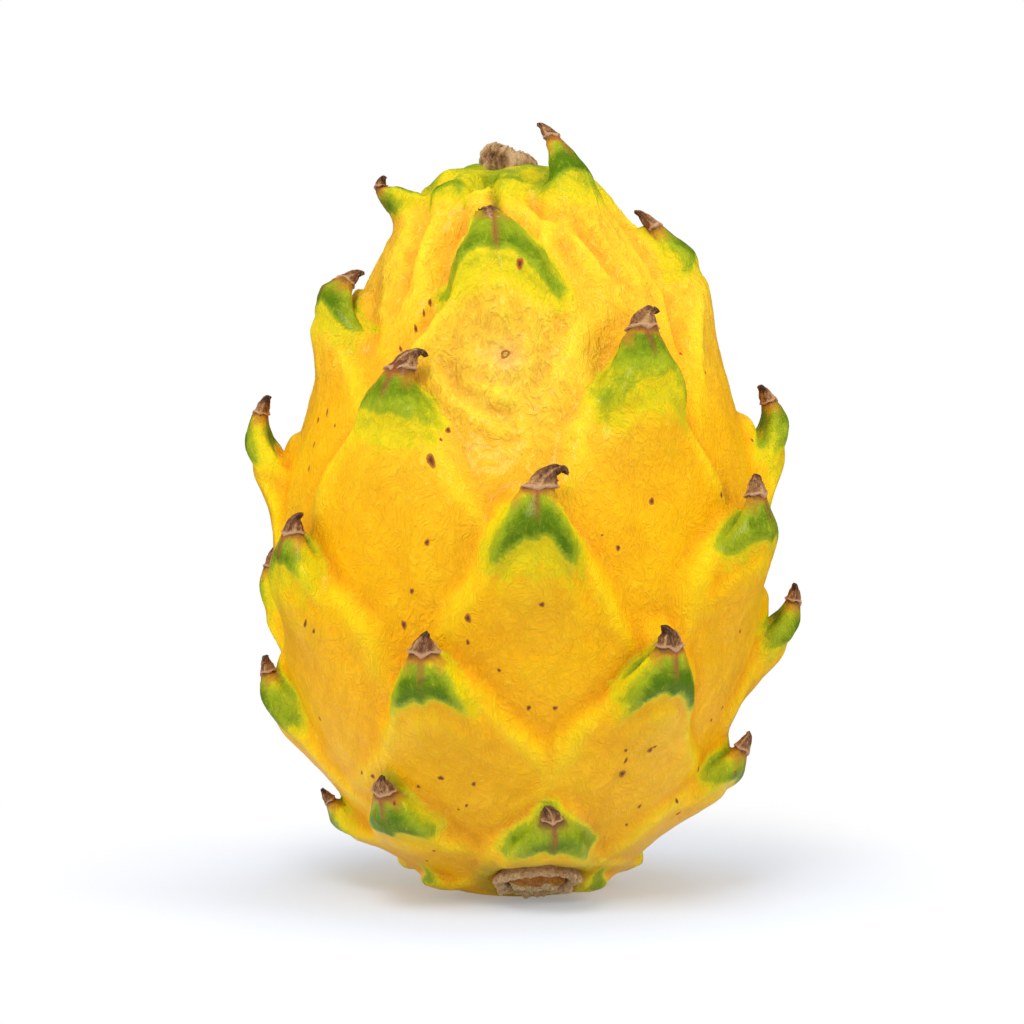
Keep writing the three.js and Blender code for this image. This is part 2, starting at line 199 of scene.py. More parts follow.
@dataclass(frozen=True)
class BodyOutline:
    """The bare body's turned outline, without cushions or scales."""

    knots: tuple[tuple[float, float], ...] = (
        (0, -1.5), (12, 0.6), (20, 5.6), (28, 14.5), (34, 24.5), (38, 36.5), (40.2, 48.5), (40.6, 60.5),
        (39.2, 70.5), (36, 80.8), (32.2, 90.8), (27.2, 100.8), (20.5, 110.3), (12.9, 117.8),
        (8.5, 122.8), (4.5, 125.4), (0, 126),
    )
    core: float = 60.0
    steps: int = 20

    def curve(self) -> Array:
        """The outline as a dense line of radius and height."""
        return smooth_line(np.array(self.knots, float), self.steps)

    def radius_at(self, height: Array | float) -> Array:
        """The bare radius at a height."""
        curve = self.curve()
        return np.interp(height, curve[:, 1], curve[:, 0])

    def reach_at(self, polar: Array) -> Array:
        """Distance from the core to the outline, by the angle from straight up.

        Args:
            polar: Angles from straight up, in radians.

        Returns:
            A distance for each angle.
        """
        curve = self.curve()
        rise = curve[:, 1] - self.core
        angles = np.arctan2(curve[:, 0], rise)[::-1]
        return np.interp(polar, angles, np.hypot(curve[:, 0], rise)[::-1])

    def site(self, azimuth: float, height: float) -> Site:
        """The place at an azimuth in degrees and a height.

        Args:
            azimuth: Degrees from the front.
            height: Height on the outline.

        Returns:
            The place with its directions.
        """
        turn = math.radians(azimuth)
        slope = float(self.radius_at(height + 1) - self.radius_at(height - 1)) / 2.0
        outward = np.array([math.sin(turn), -math.cos(turn), 0.0])
        across = np.array([math.cos(turn), math.sin(turn), 0.0])
        up = outward * slope + np.array([0.0, 0.0, 1.0])
        up /= np.linalg.norm(up)
        point = outward * float(self.radius_at(height)) + np.array([0.0, 0.0, height])
        return Site(point, across, up, np.cross(across, up))


@dataclass(frozen=True)
class Horn:
    """The fleshy part of one scale, as a bent and cupped spine with widths along it."""

    spec: ScaleSpec
    site: Site
    cushion_lift: float
    widths: tuple[tuple[float, float], ...] = (
        (0, 1.1), (0.2, 1.08), (0.42, 0.88), (0.6, 0.69), (0.72, 0.53), (0.82, 0.38), (0.9, 0.28),
        (0.96, 0.2), (1, 0.1),
    )
    thicknesses: tuple[tuple[float, float], ...] = (
        (0, 0.9), (0.2, 2.0), (0.4, 2.8), (0.55, 2.5), (0.7, 1.9), (0.82, 1.4), (0.92, 1.0), (1, 0.5),
    )
    cupping: float = 0.045
    hook_from: float = 0.78
    samples: int = 28

    @property
    def lift(self) -> float:
        """How far this scale's cushion swells."""
        return self.cushion_lift * min(max(self.spec.half_width / 8.0, 0.5), 1.1)

    @property
    def length(self) -> float:
        """Length of the spine."""
        line = self.spine(np.linspace(0.0, 1.0, self.samples))
        return float(np.linalg.norm(np.diff(line, axis=0), axis=1).sum())

    def width(self, along: Array) -> Array:
        """Half widths at shares of the spine's length."""
        shares = np.interp(along, *zip(*self.widths)) ** (1.0 / self.spec.fullness)
        return self.spec.half_width * (shares if self.spec.dry else np.maximum(shares, 0.36))

    def thickness(self, along: Array) -> Array:
        """Half thicknesses at shares of the spine's length."""
        return (self.spec.half_width / 8.0) * np.interp(along, *zip(*self.thicknesses))

    def spine(self, along: Array) -> Array:
        """Points of the spine, up and out from the site, for shares of its length.

        Args:
            along: Shares of its length.

        Returns:
            One row for each share.
        """
        spec, reach = self.spec, self.spec.half_width / 8.0
        knots = (
            (-spec.root * reach, -4.0),
            (-0.6 * spec.root * reach, 1.5 + 0.7 * self.lift + 0.7 * spec.belly),
            (min(spec.rise, 2.0) - 4.0, spec.stand_off + 0.6 + spec.belly),
            (spec.rise, spec.stand_off),
        )
        s, r = along[:, None], 1.0 - along[:, None]
        weights = (r**3, 3 * r * r * s, 3 * r * s * s, s**3)
        return sum(w * np.array(k) for w, k in zip(weights, knots))

    def sideways(self, along: Array) -> Array:
        """How far the spine has turned to the side."""
        curl = np.clip((along - self.hook_from) / (1.0 - self.hook_from), 0.0, None)
        return self.spec.hook * curl**2

    def frame_at(self, u: Array, v: Array, n: Array) -> tuple[Array, Array, Array]:
        """Where points lie along, across and above the spine.

        Args:
            u: Coordinates across the site.
            v: Coordinates up from the site.
            n: Coordinates out from the site.

        Returns:
            The share of the spine's length, the offset across in millimetres, and the height above the spine.
        """
        shares = np.linspace(0.0, 1.0, self.samples)
        line = self.spine(shares)
        best = np.full(len(v), np.inf)
        along, above = np.zeros(len(v)), np.zeros(len(v))
        for i in range(self.samples - 1):
            start, step = line[i], line[i + 1] - line[i]
            length = np.linalg.norm(step)
            dv, dn = v - start[0], n - start[1]
            t = np.clip((dv * step[0] + dn * step[1]) / length**2, 0.0, 1.0)
            gap = np.hypot(dv - t * step[0], dn - t * step[1])
            nearer = gap < best
            best = np.where(nearer, gap, best)
            along = np.where(nearer, shares[i] + t * (shares[1] - shares[0]), along)
            side = np.sign(dn * step[0] - dv * step[1])
            above = np.where(nearer, gap * side, above)
        return along, u - self.sideways(along), above

    def distance(self, u: Array, v: Array, n: Array) -> tuple[Array, Array, Array]:
        """Distance to the horn, the height above its spine, and the share of the spine's length.

        Args:
            u: Coordinates across its site.
            v: Coordinates up from its site.
            n: Coordinates out from its site.

        Returns:
            The three values for each point.
        """
        along, aside, above = self.frame_at(u, v, n)
        width, thick = self.width(along), self.thickness(along)
        a = aside / width
        b = (above + self.cupping * aside * aside) / thick
        k0 = np.sqrt(a * a + b * b) + 1e-6
        k1 = np.sqrt((a / width) ** 2 + (b / thick) ** 2) + 1e-6
        return k0 * (k0 - 1.0) / k1, above, along


@dataclass(frozen=True)
class Fold:
    """A valley pulled into the skin along a line of azimuths and heights, with soft lips beside it."""

    depth: float
    half_width: float
    line: tuple[tuple[float, float], ...]
    lip: float = 0.45

    def offset(self, bare: Array, outline: BodyOutline) -> Array:
        """How far the fold moves points of the bare skin outwards.

        Args:
            bare: Points on the bare body.
            outline: The bare body's outline.

        Returns:
            One offset for each point, negative in the valley.
        """
        knots = np.array([outline.site(azimuth, height).point for azimuth, height in self.line])
        line = smooth_line(knots, 4)
        moved = np.zeros(len(bare))
        reach = 14.0 + 4.0 * self.half_width
        near = np.min(np.linalg.norm(bare[:, None] - knots[None], axis=2), axis=1) < reach
        points = bare[near]
        gap, share = np.full(len(points), np.inf), np.zeros(len(points))
        for i in range(len(line) - 1):
            step = line[i + 1] - line[i]
            t = np.clip((points - line[i]) @ step / max(step @ step, 1e-9), 0.0, 1.0)
            away = np.linalg.norm(points - line[i] - t[:, None] * step, axis=1)
            share = np.where(away < gap, (i + t) / (len(line) - 1), share)
            gap = np.minimum(gap, away)
        ends = smoothstep(share, 0.0, 0.2) * smoothstep(1.0 - share, 0.0, 0.25)
        valley = bell(gap, 0.0, self.half_width)
        lips = bell(gap, 2.1 * self.half_width, 1.1 * self.half_width)
        moved[near] = self.depth * (self.lip * lips - valley) * ends
        return moved


FOLDS = (
    Fold(2.6, 1.1, ((-24, 124.3), (-20.8, 121.8), (-13.8, 119), (-10.7, 116.5), (-9, 114.3))),
    Fold(1.5, 1.5, (
        (-11, 117.3), (6.4, 115.7), (14.4, 114.6), (19, 112.3),
        (20.1, 109.8), (20.8, 106.4), (22.5, 100),
    )),
    Fold(1.6, 1.5, (
        (-6, 123.2), (1.1, 119.7), (7.7, 117.3), (16.6, 115.1),
        (27.9, 112), (36.4, 108.3), (42, 103.8),
    )),
    Fold(0.9, 1.2, ((24, 112.8), (31.1, 109.5), (36.1, 106.4), (40.5, 103.8), (43.5, 99.8))),
    Fold(2.1, 1.8, (
        (-17, 115.8), (-28.7, 112.2), (-32.7, 110.3), (-33.1, 108),
        (-30.5, 101.8), (-35.1, 95.8), (-43, 90.8),
    )),
    Fold(1.0, 1.0, ((-32, 123.3), (-26.9, 118.6), (-26.6, 115.8), (-29.4, 113), (-37, 108.8))),
    Fold(1.4, 1.5, (
        (-66, 122.8), (-58.7, 119.5), (-56, 116), (-53.7, 112.4),
        (-52.7, 108.5), (-49, 101.8), (-52, 95.8),
    )),
    Fold(1.6, 1.7, ((76, 112.8), (64.7, 107), (61.9, 103.5), (61.5, 100.4), (58, 93.8), (60, 86.8))),
    Fold(0.8, 1.3, ((52, 115.8), (57.2, 110), (55.3, 106.2), (53.2, 102.3), (50, 96.8))),
    Fold(1.2, 1.2, ((-24, 91.8), (-20.2, 88), (-17.2, 86.1), (-12.6, 84.7), (-8.2, 83.2), (1, 80.6))),
    Fold(1.0, 1.5, (
        (22, 101.8), (15.8, 97.3), (10.9, 95), (8.6, 92.4),
        (5.3, 89.9), (2.9, 85.8), (-2, 81.3),
    )),
    Fold(0.6, 1.2, ((-22, 92.8), (-16.5, 88.7), (-11.9, 87.3), (-6.9, 86.7), (-2.1, 87.3), (3, 90.3))),
    Fold(2.0, 1.4, ((118, 123.8), (112, 118.8), (108, 112.8), (111, 105.8), (118, 98.8), (120, 90.8))),
    Fold(1.6, 1.6, ((152, 123.8), (158, 117.8), (156, 111.8), (160, 104.8), (166, 98.8))),
    Fold(1.8, 1.5, ((-150, 124.3), (-158, 118.8), (-160, 112.8), (-166, 105.8), (-163, 97.8))),
    Fold(1.6, 1.6, ((-112, 122.8), (-107, 116.8), (-110, 109.8), (-114, 102.8), (-118, 94.8), (-115, 87.8))),
    Fold(1.1, 1.3, ((88, 122.8), (92, 116.8), (90, 110.8), (96, 103.8), (104, 96.8))),
    Fold(1.0, 1.3, ((-128, 118.8), (-132, 112.8), (-130, 106.8), (-128, 98.8), (-134, 90.8))),
    Fold(0.9, 1.4, ((132, 116.8), (134, 110.8), (130, 103.8), (132, 96.8), (138, 88.8))),
)


@dataclass
class FruitForm:
    """The whole rind as a field of distances, in millimetres, before the neck's lean."""

    outline: BodyOutline = field(default_factory=BodyOutline)
    cushion_lift: float = 3.2
    cushion_reach: float = 24.0
    cushion_flare: float = 0.6
    cushion_apex: float = 2.5
    cushion_soft: float = 4.5
    cushion_blend: float = 5.0
    hollow_depth: float = 3.0
    hollow_radius: float = 5.0
    folds: tuple[Fold, ...] = FOLDS
    lean: tuple[tuple[float, float, float], ...] = (
        (0, -0.8, -0.2),
        (66, -0.8, -0.2),
        (97, 0, 1.8),
        (127, -2.6, 4.3),
    )
    stem_azimuth: float = 8.5
    stem_height: float = 5.4
    stem_tilt: float = 10.0
    stem_drop: float = -1.3
    stem_squash: float = 0.76
    seat_radius: float = 7.5
    seat_depth: float = 0.9
    seat_fillet: float = 1.4
    voxel: float = 0.76
    grid_low: tuple[float, float, float] = (-54.0, -54.0, -3.0)
    grid_high: tuple[float, float, float] = (54.0, 54.0, 134.0)
    inner_fillet: float = 1.0
    outer_fillet: float = 6.0

    def __post_init__(self) -> None:
        """Sets up one horn for each scale."""
        self.horns = [
            Horn(spec, self.outline.site(spec.azimuth, spec.height), self.cushion_lift) for spec in SCALES
        ]

    def tent(self, horn: Horn, u: Array, v: Array) -> tuple[Array, Array]:
        """Depth inside the tent-shaped swelling below one scale, from its side and from its top.

        Args:
            horn: The scale.
            u: Coordinates across its site.
            v: Coordinates up from its site.

        Returns:
            The two depths.
        """
        u = u + 1.5 * np.sin(0.17 * v + 0.9 * horn.spec.azimuth)
        u = u + 0.9 * np.sin(0.35 * v + 1.7 * horn.spec.height)
        v = v + 1.6 * np.sin(0.19 * u + 1.1 * horn.spec.azimuth)
        below = self.cushion_apex - v
        half = 0.45 * horn.spec.half_width + self.cushion_flare * np.maximum(below, 0.0)
        return half - np.abs(u), below

    def cushion(self, horn: Horn, u: Array, v: Array, n: Array) -> Array:
        """Height of the swelling below one scale.

        Args:
            horn: The scale.
            u: Coordinates across its site.
            v: Coordinates up from its site.
            n: Coordinates out from its site.

        Returns:
            One height for each point.
        """
        edge, below = self.tent(horn, u, v)
        inside = smoothstep(edge, -self.cushion_soft / 2, self.cushion_soft)
        top = smoothstep(below, -3.0, 2.0)
        fade = bell(below, 0.0, self.cushion_reach)
        return np.where(n < -14.0, 0.0, horn.lift * inside * top * fade)

    def edges(self, raw: Array) -> Array:
        """How strongly points lie on the raised edge of a swelling, from 0 to 1.

        Args:
            raw: Points of the skin, one row each.

        Returns:
            One value for each point.
        """
        highest, total = np.zeros(len(raw)), np.zeros(len(raw))
        found = []
        for horn in self.horns:
            near = np.linalg.norm(raw - horn.site.point, axis=1) < 1.8 * self.cushion_reach
            u, v, n = horn.site.local(raw[near])
            height = self.cushion(horn, u, v, n)
            highest[near] = np.maximum(highest[near], height)
            found.append((horn, near, height, *self.tent(horn, u, v)))
        for horn, near, height, edge, below in found:
            own = smoothstep(height / np.maximum(highest[near], 0.05), 0.7, 1.0)
            reach = smoothstep(below, 3.0, 10.0) * bell(below, 0.0, 26.0)
            line = bell(edge, 2.6, 2.0) * own * reach * min(horn.lift / 3.2, 1.0)
            total[near] = np.maximum(total[near], line)
        return total

    def skin_offset(self, bare: Array) -> Array:
        """How far the skin stands off the bare body, from the core outwards.

        Args:
            bare: Points on the bare body, one row each.

        Returns:
            One distance for each point.
        """
        total = np.zeros(len(bare))
        for horn in self.horns:
            near = np.linalg.norm(bare - horn.site.point, axis=1) < 2.4 * self.cushion_reach
            total[near] += self.cushion(horn, *horn.site.local(bare[near])) ** self.cushion_blend
        cushions = total ** (1.0 / self.cushion_blend)
        azimuth = np.arctan2(bare[:, 0], -bare[:, 1])
        radius = np.hypot(bare[:, 0], bare[:, 1])
        height = bare[:, 2]
        swell = 0.5 * np.sin(2 * azimuth + 1.3 + 0.03 * height)
        swell += 0.4 * np.sin(3 * azimuth - 0.05 * height + 0.7)
        creases = sum(fold.offset(bare, self.outline) for fold in self.folds)
        sunk = self.hollow_depth * bell(radius, 0.0, self.hollow_radius)
        hollow = np.where(height > self.outline.core, sunk, 0.0)
        return smoothstep(height, 2.0, 14.0) * (cushions + swell) + creases - hollow

    def skin_table(self) -> tuple[Array, Array]:
        """Distance from the core to the skin and its steepness factor, by polar angle and azimuth.

        Returns:
            Both as grids.
        """
        polar = np.linspace(0.0, math.pi, 361)
        azimuth = np.linspace(-math.pi, math.pi, 721)
        grid_polar, grid_azimuth = np.meshgrid(polar, azimuth, indexing="ij")
        ray = np.stack(
            [
                np.sin(grid_polar) * np.sin(grid_azimuth),
                -np.sin(grid_polar) * np.cos(grid_azimuth),
                np.cos(grid_polar),
            ],
            axis=-1,
        ).reshape(-1, 3)
        bare = ray * self.outline.reach_at(grid_polar.ravel())[:, None] + np.array([0, 0, self.outline.core])
        reach = np.linalg.norm(bare - np.array([0, 0, self.outline.core]), axis=1) + self.skin_offset(bare)
        reach = reach.reshape(grid_polar.shape)
        d_polar = np.gradient(reach, polar, axis=0) / reach
        d_azimuth = np.gradient(reach, azimuth, axis=1) / (reach * np.maximum(np.sin(grid_polar), 0.05))
        return reach, 1.0 / np.sqrt(1.0 + d_polar**2 + d_azimuth**2)

    def body_distance(self, points: Array, table: tuple[Array, Array]) -> Array:
        """Distance to the skin without its scales, read from the table.

        Args:
            points: Positions, one row each.
            table: Distances and steepness factors.

        Returns:
            One distance for each point.
        """
        reach, slope = table
        rise = points[:, 2] - self.outline.core
        flat = np.hypot(points[:, 0], points[:, 1])
        row = np.arctan2(flat, rise) / math.pi * (reach.shape[0] - 1)
        column = (np.arctan2(points[:, 0], -points[:, 1]) + math.pi) / (2 * math.pi) * (reach.shape[1] - 1)
        i = np.clip(row.astype(np.int32), 0, reach.shape[0] - 2)
        j = np.clip(column.astype(np.int32), 0, reach.shape[1] - 2)
        a, b = row - i, column - j

        def read(values: Array) -> Array:
            """Values between the table's entries.

            Args:
                values: The table.

            Returns:
                One value for each point.
            """
            near = values[i, j] * (1 - b) + values[i, j + 1] * b
            far = values[i + 1, j] * (1 - b) + values[i + 1, j + 1] * b
            return near * (1 - a) + far * a

        return (np.hypot(flat, rise) - read(reach)) * read(slope)

    def field(self) -> tuple[Array, Array]:
        """Distances to the finished rind on a grid, and the grid's first corner.

        Returns:
            Both, with negative distances inside.
        """
        low, high = np.array(self.grid_low), np.array(self.grid_high)
        counts = np.ceil((high - low) / self.voxel).astype(int) + 1
        axes = [low[k] + self.voxel * np.arange(counts[k]) for k in range(3)]
        table = self.skin_table()
        values = np.empty(counts, np.float32)
        for k, height in enumerate(axes[2]):
            x, y = np.meshgrid(axes[0], axes[1], indexing="ij")
            layer = np.stack([x.ravel(), y.ravel(), np.full(x.size, height)], axis=1)
            values[:, :, k] = self.body_distance(layer, table).reshape(x.shape)
        for horn in self.horns:
            self.add_horn(values, axes, horn)
        self.carve_seat(values, axes)
        floor = -axes[2][None, None, :].astype(np.float32)
        return -smooth_union(-values, -floor, 0.8), low

    @staticmethod
    def window(axes: list[Array], middle: Array, half: float) -> tuple[tuple[slice, ...], Array]:
        """The part of the grid round a place.

        Args:
            axes: The grid's coordinates.
            middle: The place.
            half: How far the part goes to each side.

        Returns:
            Its slices, and its points.
        """
        spans = [np.searchsorted(axes[k], [middle[k] - half, middle[k] + half]) for k in range(3)]
        part = tuple(slice(*span) for span in spans)
        grid = np.meshgrid(*(axes[k][part[k]] for k in range(3)), indexing="ij")
        return part, np.stack([g.ravel() for g in grid], axis=1)

    def add_horn(self, values: Array, axes: list[Array], horn: Horn) -> None:
        """Joins one scale to the distances near it, tight in its notch and full on its outside.

        Args:
            values: Distances on the grid, changed in place.
            axes: The grid's coordinates.
            horn: The scale.
        """
        part, points = self.window(axes, horn.site.point + horn.site.out * 2.0, 23.0)
        scale, above, along = horn.distance(*horn.site.local(points))
        soft = smoothstep(above, -1.0, 1.5) * (1.0 - 0.85 * smoothstep(along, 0.55, 0.92))
        fillet = self.inner_fillet + (self.outer_fillet - self.inner_fillet) * soft
        body = values[part]
        values[part] = smooth_union(body.ravel(), scale, fillet).reshape(body.shape)

    def stem_site(self) -> Site:
        """The cut stem's place, turned to face further down than the skin round it.

        Returns:
            The place with its directions.
        """
        site, turn = self.outline.site(self.stem_azimuth, self.stem_height), math.radians(self.stem_tilt)
        up = site.up * math.cos(turn) + site.out * math.sin(turn)
        return Site(site.point, site.across, up, np.cross(site.across, up))

    def carve_seat(self, values: Array, axes: list[Array]) -> None:
        """Sinks the shallow round seat of the cut stem into the skin.

        Args:
            values: Distances on the grid, changed in place.
            axes: The grid's coordinates.
        """
        site = self.stem_site()
        part, points = self.window(axes, site.point, 14.0)
        u, v, n = site.local(points)
        turn = np.arctan2(v, u)
        ragged = 0.35 * np.sin(5 * turn + 0.6) + 0.25 * np.sin(9 * turn + 2.0)
        flare = 0.25 + 2.8 * smoothstep(v, -1.0, 3.5)
        round_gap = np.hypot(u, (v - self.stem_drop) / self.stem_squash)
        radius = self.seat_radius + ragged + flare * np.maximum(n, 0.0)
        well = np.maximum(round_gap - radius, -self.seat_depth - n)
        body = values[part]
        values[part] = -smooth_union(-body.ravel(), well, self.seat_fillet).reshape(body.shape)

    def leaned(self, points: Array) -> Array:
        """Points after the axis is bent sideways and back.

        Args:
            points: Positions, one row each.

        Returns:
            The moved positions.
        """
        heights, across, back = zip(*self.lean)
        height = points[:, 2]
        total = np.zeros((len(points), 3))
        for i in range(len(heights) - 1):
            share = smoothstep(height, heights[i], heights[i + 1])
            total[:, 0] += share * (across[i + 1] - across[i])
            total[:, 1] += share * (back[i + 1] - back[i])
        return points + total + np.array([across[0], back[0], 0.0])


def surface_nets(values: Array, low: Array, step: float) -> tuple[Array, Array]:
    """The zero surface of a grid of distances.

    Args:
        values: Distances, negative inside.
        low: The grid's first corner.
        step: The grid's spacing.

    Returns:
        Vertices, and quads that face out.
    """
    cells = np.array(values.shape) - 1
    sums = np.zeros((int(np.prod(cells)), 3))
    counts = np.zeros(int(np.prod(cells)), np.int32)
    edges = []
    for axis in range(3):
        first = [slice(None)] * 3
        last = [slice(None)] * 3
        first[axis], last[axis] = slice(0, -1), slice(1, None)
        a, b = values[tuple(first)], values[tuple(last)]
        crossing = (a < 0) != (b < 0)
        index = np.argwhere(crossing)
        va, vb = a[crossing], b[crossing]
        place = index.astype(float)
        place[:, axis] += va / (va - vb)
        p, q = (axis + 1) % 3, (axis + 2) % 3
        around = []
        for dp, dq in ((0, 0), (-1, 0), (-1, -1), (0, -1)):
            cell = index.copy()
            cell[:, p] += dp
            cell[:, q] += dq
            around.append(np.ravel_multi_index(tuple(np.clip(cell, 0, cells - 1).T), cells))
        for flat in around:
            for k in range(3):
                sums[:, k] += np.bincount(flat, place[:, k], minlength=len(sums))
            counts += np.bincount(flat, minlength=len(counts)).astype(np.int32)
        quad = np.stack(around, axis=1)
        edges.append(np.where((va < 0)[:, None], quad, quad[:, ::-1]))
    quads = np.vstack(edges)
    used, packed = np.unique(quads, return_inverse=True)
    vertices = sums[used] / counts[used][:, None]
    return vertices * step + low, packed.reshape(quads.shape)


@dataclass
class Surface:
    """A mesh of quads as plain arrays, in millimetres."""

    points: Array
    quads: Array

    def normals(self) -> Array:
        """Unit normals at the points.

        Returns:
            One row for each point.
        """
        corners = self.points[self.quads]
        faces = np.cross(corners[:, 2] - corners[:, 0], corners[:, 3] - corners[:, 1])
        total = np.zeros_like(self.points)
        for k in range(self.quads.shape[1]):
            for axis in range(3):
                total[:, axis] += np.bincount(self.quads[:, k], faces[:, axis], minlength=len(total))
        return total / np.maximum(np.linalg.norm(total, axis=1), 1e-9)[:, None]

    def averaged(self, values: Array, rounds: int) -> Array:
        """Values blurred over neighbouring points.

        Args:
            values: One row for each point.
            rounds: How often each point takes its neighbours' mean.

        Returns:
            The blurred values.
        """
        ring = np.roll(self.quads, -1, axis=1)
        pairs = np.unique(np.sort(np.stack([self.quads.ravel(), ring.ravel()], axis=1), axis=1), axis=0)
        a, b = pairs.T
        count = np.bincount(pairs.ravel(), minlength=len(values)).astype(float)
        result = np.atleast_2d(values.T).T.astype(float)
        for _ in range(rounds):
            total = np.empty_like(result)
            for axis in range(result.shape[1]):
                column = result[:, axis]
                total[:, axis] = np.bincount(a, column[b], minlength=len(column))
                total[:, axis] += np.bincount(b, column[a], minlength=len(column))
            result = 0.5 * result + 0.5 * total / np.maximum(count, 1)[:, None]
        return result.reshape(values.shape)

    def made(self, name: str, fields: dict[str, Array] | None = None) -> Object:
        """A smooth-shaded object, with one number for each point in each named field.

        Args:
            name: The object's name.
            fields: Numbers by the name of their field.

        Returns:
            The object.
        """
        mesh = bpy.data.meshes.new(name)
        count = self.quads.shape[1]
        mesh.vertices.add(len(self.points))
        mesh.vertices.foreach_set("co", (self.points * MM).astype(np.float32).ravel())
        mesh.loops.add(self.quads.size)
        mesh.loops.foreach_set("vertex_index", self.quads.astype(np.int32).ravel())
        mesh.polygons.add(len(self.quads))
        mesh.polygons.foreach_set("loop_start", np.arange(0, self.quads.size, count, dtype=np.int32))
        mesh.polygons.foreach_set("use_smooth", np.ones(len(self.quads), bool))
        mesh.update(calc_edges=True)
        mesh.validate()
        for key, values in (fields or {}).items():
            layer = mesh.attributes.new(key, "FLOAT", "POINT")
            layer.data.foreach_set("value", values.astype(np.float32))
        made = bpy.data.objects.new(name, mesh)
        bpy.context.scene.collection.objects.link(made)
        return made


Dressed = tuple[Surface, dict[str, Array]]


def joined(parts: list[Dressed]) -> Dressed:
    """Several surfaces with the same fields as one.

    Args:
        parts: The surfaces, each with its fields.

    Returns:
        One surface with its fields.
    """
    starts = np.cumsum([0] + [len(surface.points) for surface, _ in parts[:-1]])
    points = np.vstack([surface.points for surface, _ in parts])
    quads = np.vstack([surface.quads + start for (surface, _), start in zip(parts, starts)])
    fields = {key: np.concatenate([values[key] for _, values in parts]) for key in parts[0][1]}
    return Surface(points, quads), fields


def tube(rings: Array) -> Surface:
    """A closed surface through rings of points, with its two ends drawn together.

    Args:
        rings: Points by ring and by turn, anticlockwise seen from the last ring.

    Returns:
        The surface, whose ends are filled with fans of thin quads.
    """
    count, sides = rings.shape[:2]
    first, last = rings[0].mean(axis=0), rings[-1].mean(axis=0)
    points = np.vstack([rings.reshape(-1, 3), [first], [last]])
    row = np.arange(sides)
    after = np.roll(row, -1)
    corners = np.stack([row, after, after + sides, row + sides], 1)
    quads = [k * sides + corners for k in range(count - 1)]
    even = np.arange(0, sides, 2)
    start, end = count * sides, count * sides + 1
    top = (count - 1) * sides
    two = (even + 2) % sides
    quads.append(np.stack([np.full(len(even), start), two, even + 1, even], 1))
    quads.append(np.stack([np.full(len(even), end), top + even, top + even + 1, top + two], 1))
    return Surface(points, np.vstack(quads))


def turned(points: Array) -> Array:
    """Points in a turned frame, so that lattices don't line up with the axes."""
    basis = np.array([[0.80, 0.36, -0.48], [-0.60, 0.48, -0.64], [0.0, 0.80, 0.60]])
    return points @ basis.T


@dataclass(frozen=True)
class Wrinkling:
    """Fine relief of the skin: shrivelled folds at the neck, swirls, small bumps, and ribs on the scales."""

    neck: float = 0.3
    swirl: float = 0.55
    bumps: float = 0.1
    pores: float = 0.05
    swirls: tuple[tuple[float, float, float], ...] = (
        (-5, 90, 15), (172, 95, 14), (118, 92, 12), (-112, 90, 12),
    )

    def shrivel(self, raw: Array, outline: BodyOutline) -> Array:
        """How shrivelled the skin is, from 0 to 1.

        Args:
            raw: Points of the skin, one row each.
            outline: The bare body's outline.

        Returns:
            One value for each point.
        """
        total = 0.5 * smoothstep(raw[:, 2], 78.0, 104.0)
        for azimuth, height, reach in self.swirls:
            away = np.linalg.norm(raw - outline.site(azimuth, height).point, axis=1)
            total = np.maximum(total, bell(away, 0.0, 1.25 * reach))
        return total

    def offset(self, raw: Array, outline: BodyOutline) -> Array:
        """How far the relief moves points out.

        Args:
            raw: Points of the skin before the lean.
            outline: The bare body's outline.

        Returns:
            Millimetres along the normals.
        """
        sway = 3.0 * np.stack([lattice_noise(raw / 11.0, seed) for seed in (1, 2, 3)], axis=1)
        upright = raw + sway
        neck = smoothstep(raw[:, 2], 76.0, 106.0)
        drawn = ridges(upright / np.array([2.9, 2.9, 15.0]), 4) ** 3 - 0.35
        drawn += 0.6 * (ridges(upright / np.array([1.7, 1.7, 8.0]), 5) ** 3 - 0.35)
        total = self.neck * (0.12 + 0.88 * neck) * drawn
        curled = raw + 5.0 * np.stack([lattice_noise(raw / 8.0, seed) for seed in (6, 7, 8)], axis=1)
        shrunk = ridges(turned(curled) / 3.4, 9) ** 4 - 0.3
        shrunk += 0.5 * (ridges(turned(curled) / 1.9, 10) ** 3 - 0.35)
        for azimuth, height, reach in self.swirls:
            place = outline.site(azimuth, height).point
            near = bell(np.linalg.norm(raw - place, axis=1), 0.0, reach)
            total += self.swirl * near * shrunk
        bumpy = lattice_noise(turned(raw) / 6.5, 11) + 0.7 * lattice_noise(turned(raw) / 3.1, 12)
        total += self.bumps * bumpy
        total += self.pores * lattice_noise(turned(raw) / 1.5, 13)
        return total * smoothstep(raw[:, 2], 0.5, 7.0)


@dataclass(frozen=True)
class Greening:
    """How green one scale is: how far down, how long at its sides, how wide, and how much below.

    Low is 1 where the deepest green lies in a band at the lower edge, and 0 where it lies at the tip.
    Flush is how rusty the skin is next to the dry end.
    """

    reach: float = 11.0
    legs: float = 1.0
    width: float = 1.0
    under: float = 0.3
    low: float = 1.0
    flush: float = 0.8

    @staticmethod
    def of(spec: ScaleSpec) -> "Greening":
        """The greening of one scale, seeded by its place where it has no entry of its own.

        Args:
            spec: The scale.

        Returns:
            Its greening.
        """
        known = GREENINGS.get((spec.azimuth, spec.height))
        if known:
            return known
        dice = np.random.default_rng(int(1000 + 7 * spec.azimuth + 13 * spec.height) % 9973)
        reach = dice.uniform(9.5, 12.5) if spec.dry else dice.uniform(7.5, 10.0)
        spans = ((0.4, 1.4), (0.85, 1.25), (0.1, 0.8), (0.4, 1.0))
        return Greening(reach, *(dice.uniform(*span) for span in spans))


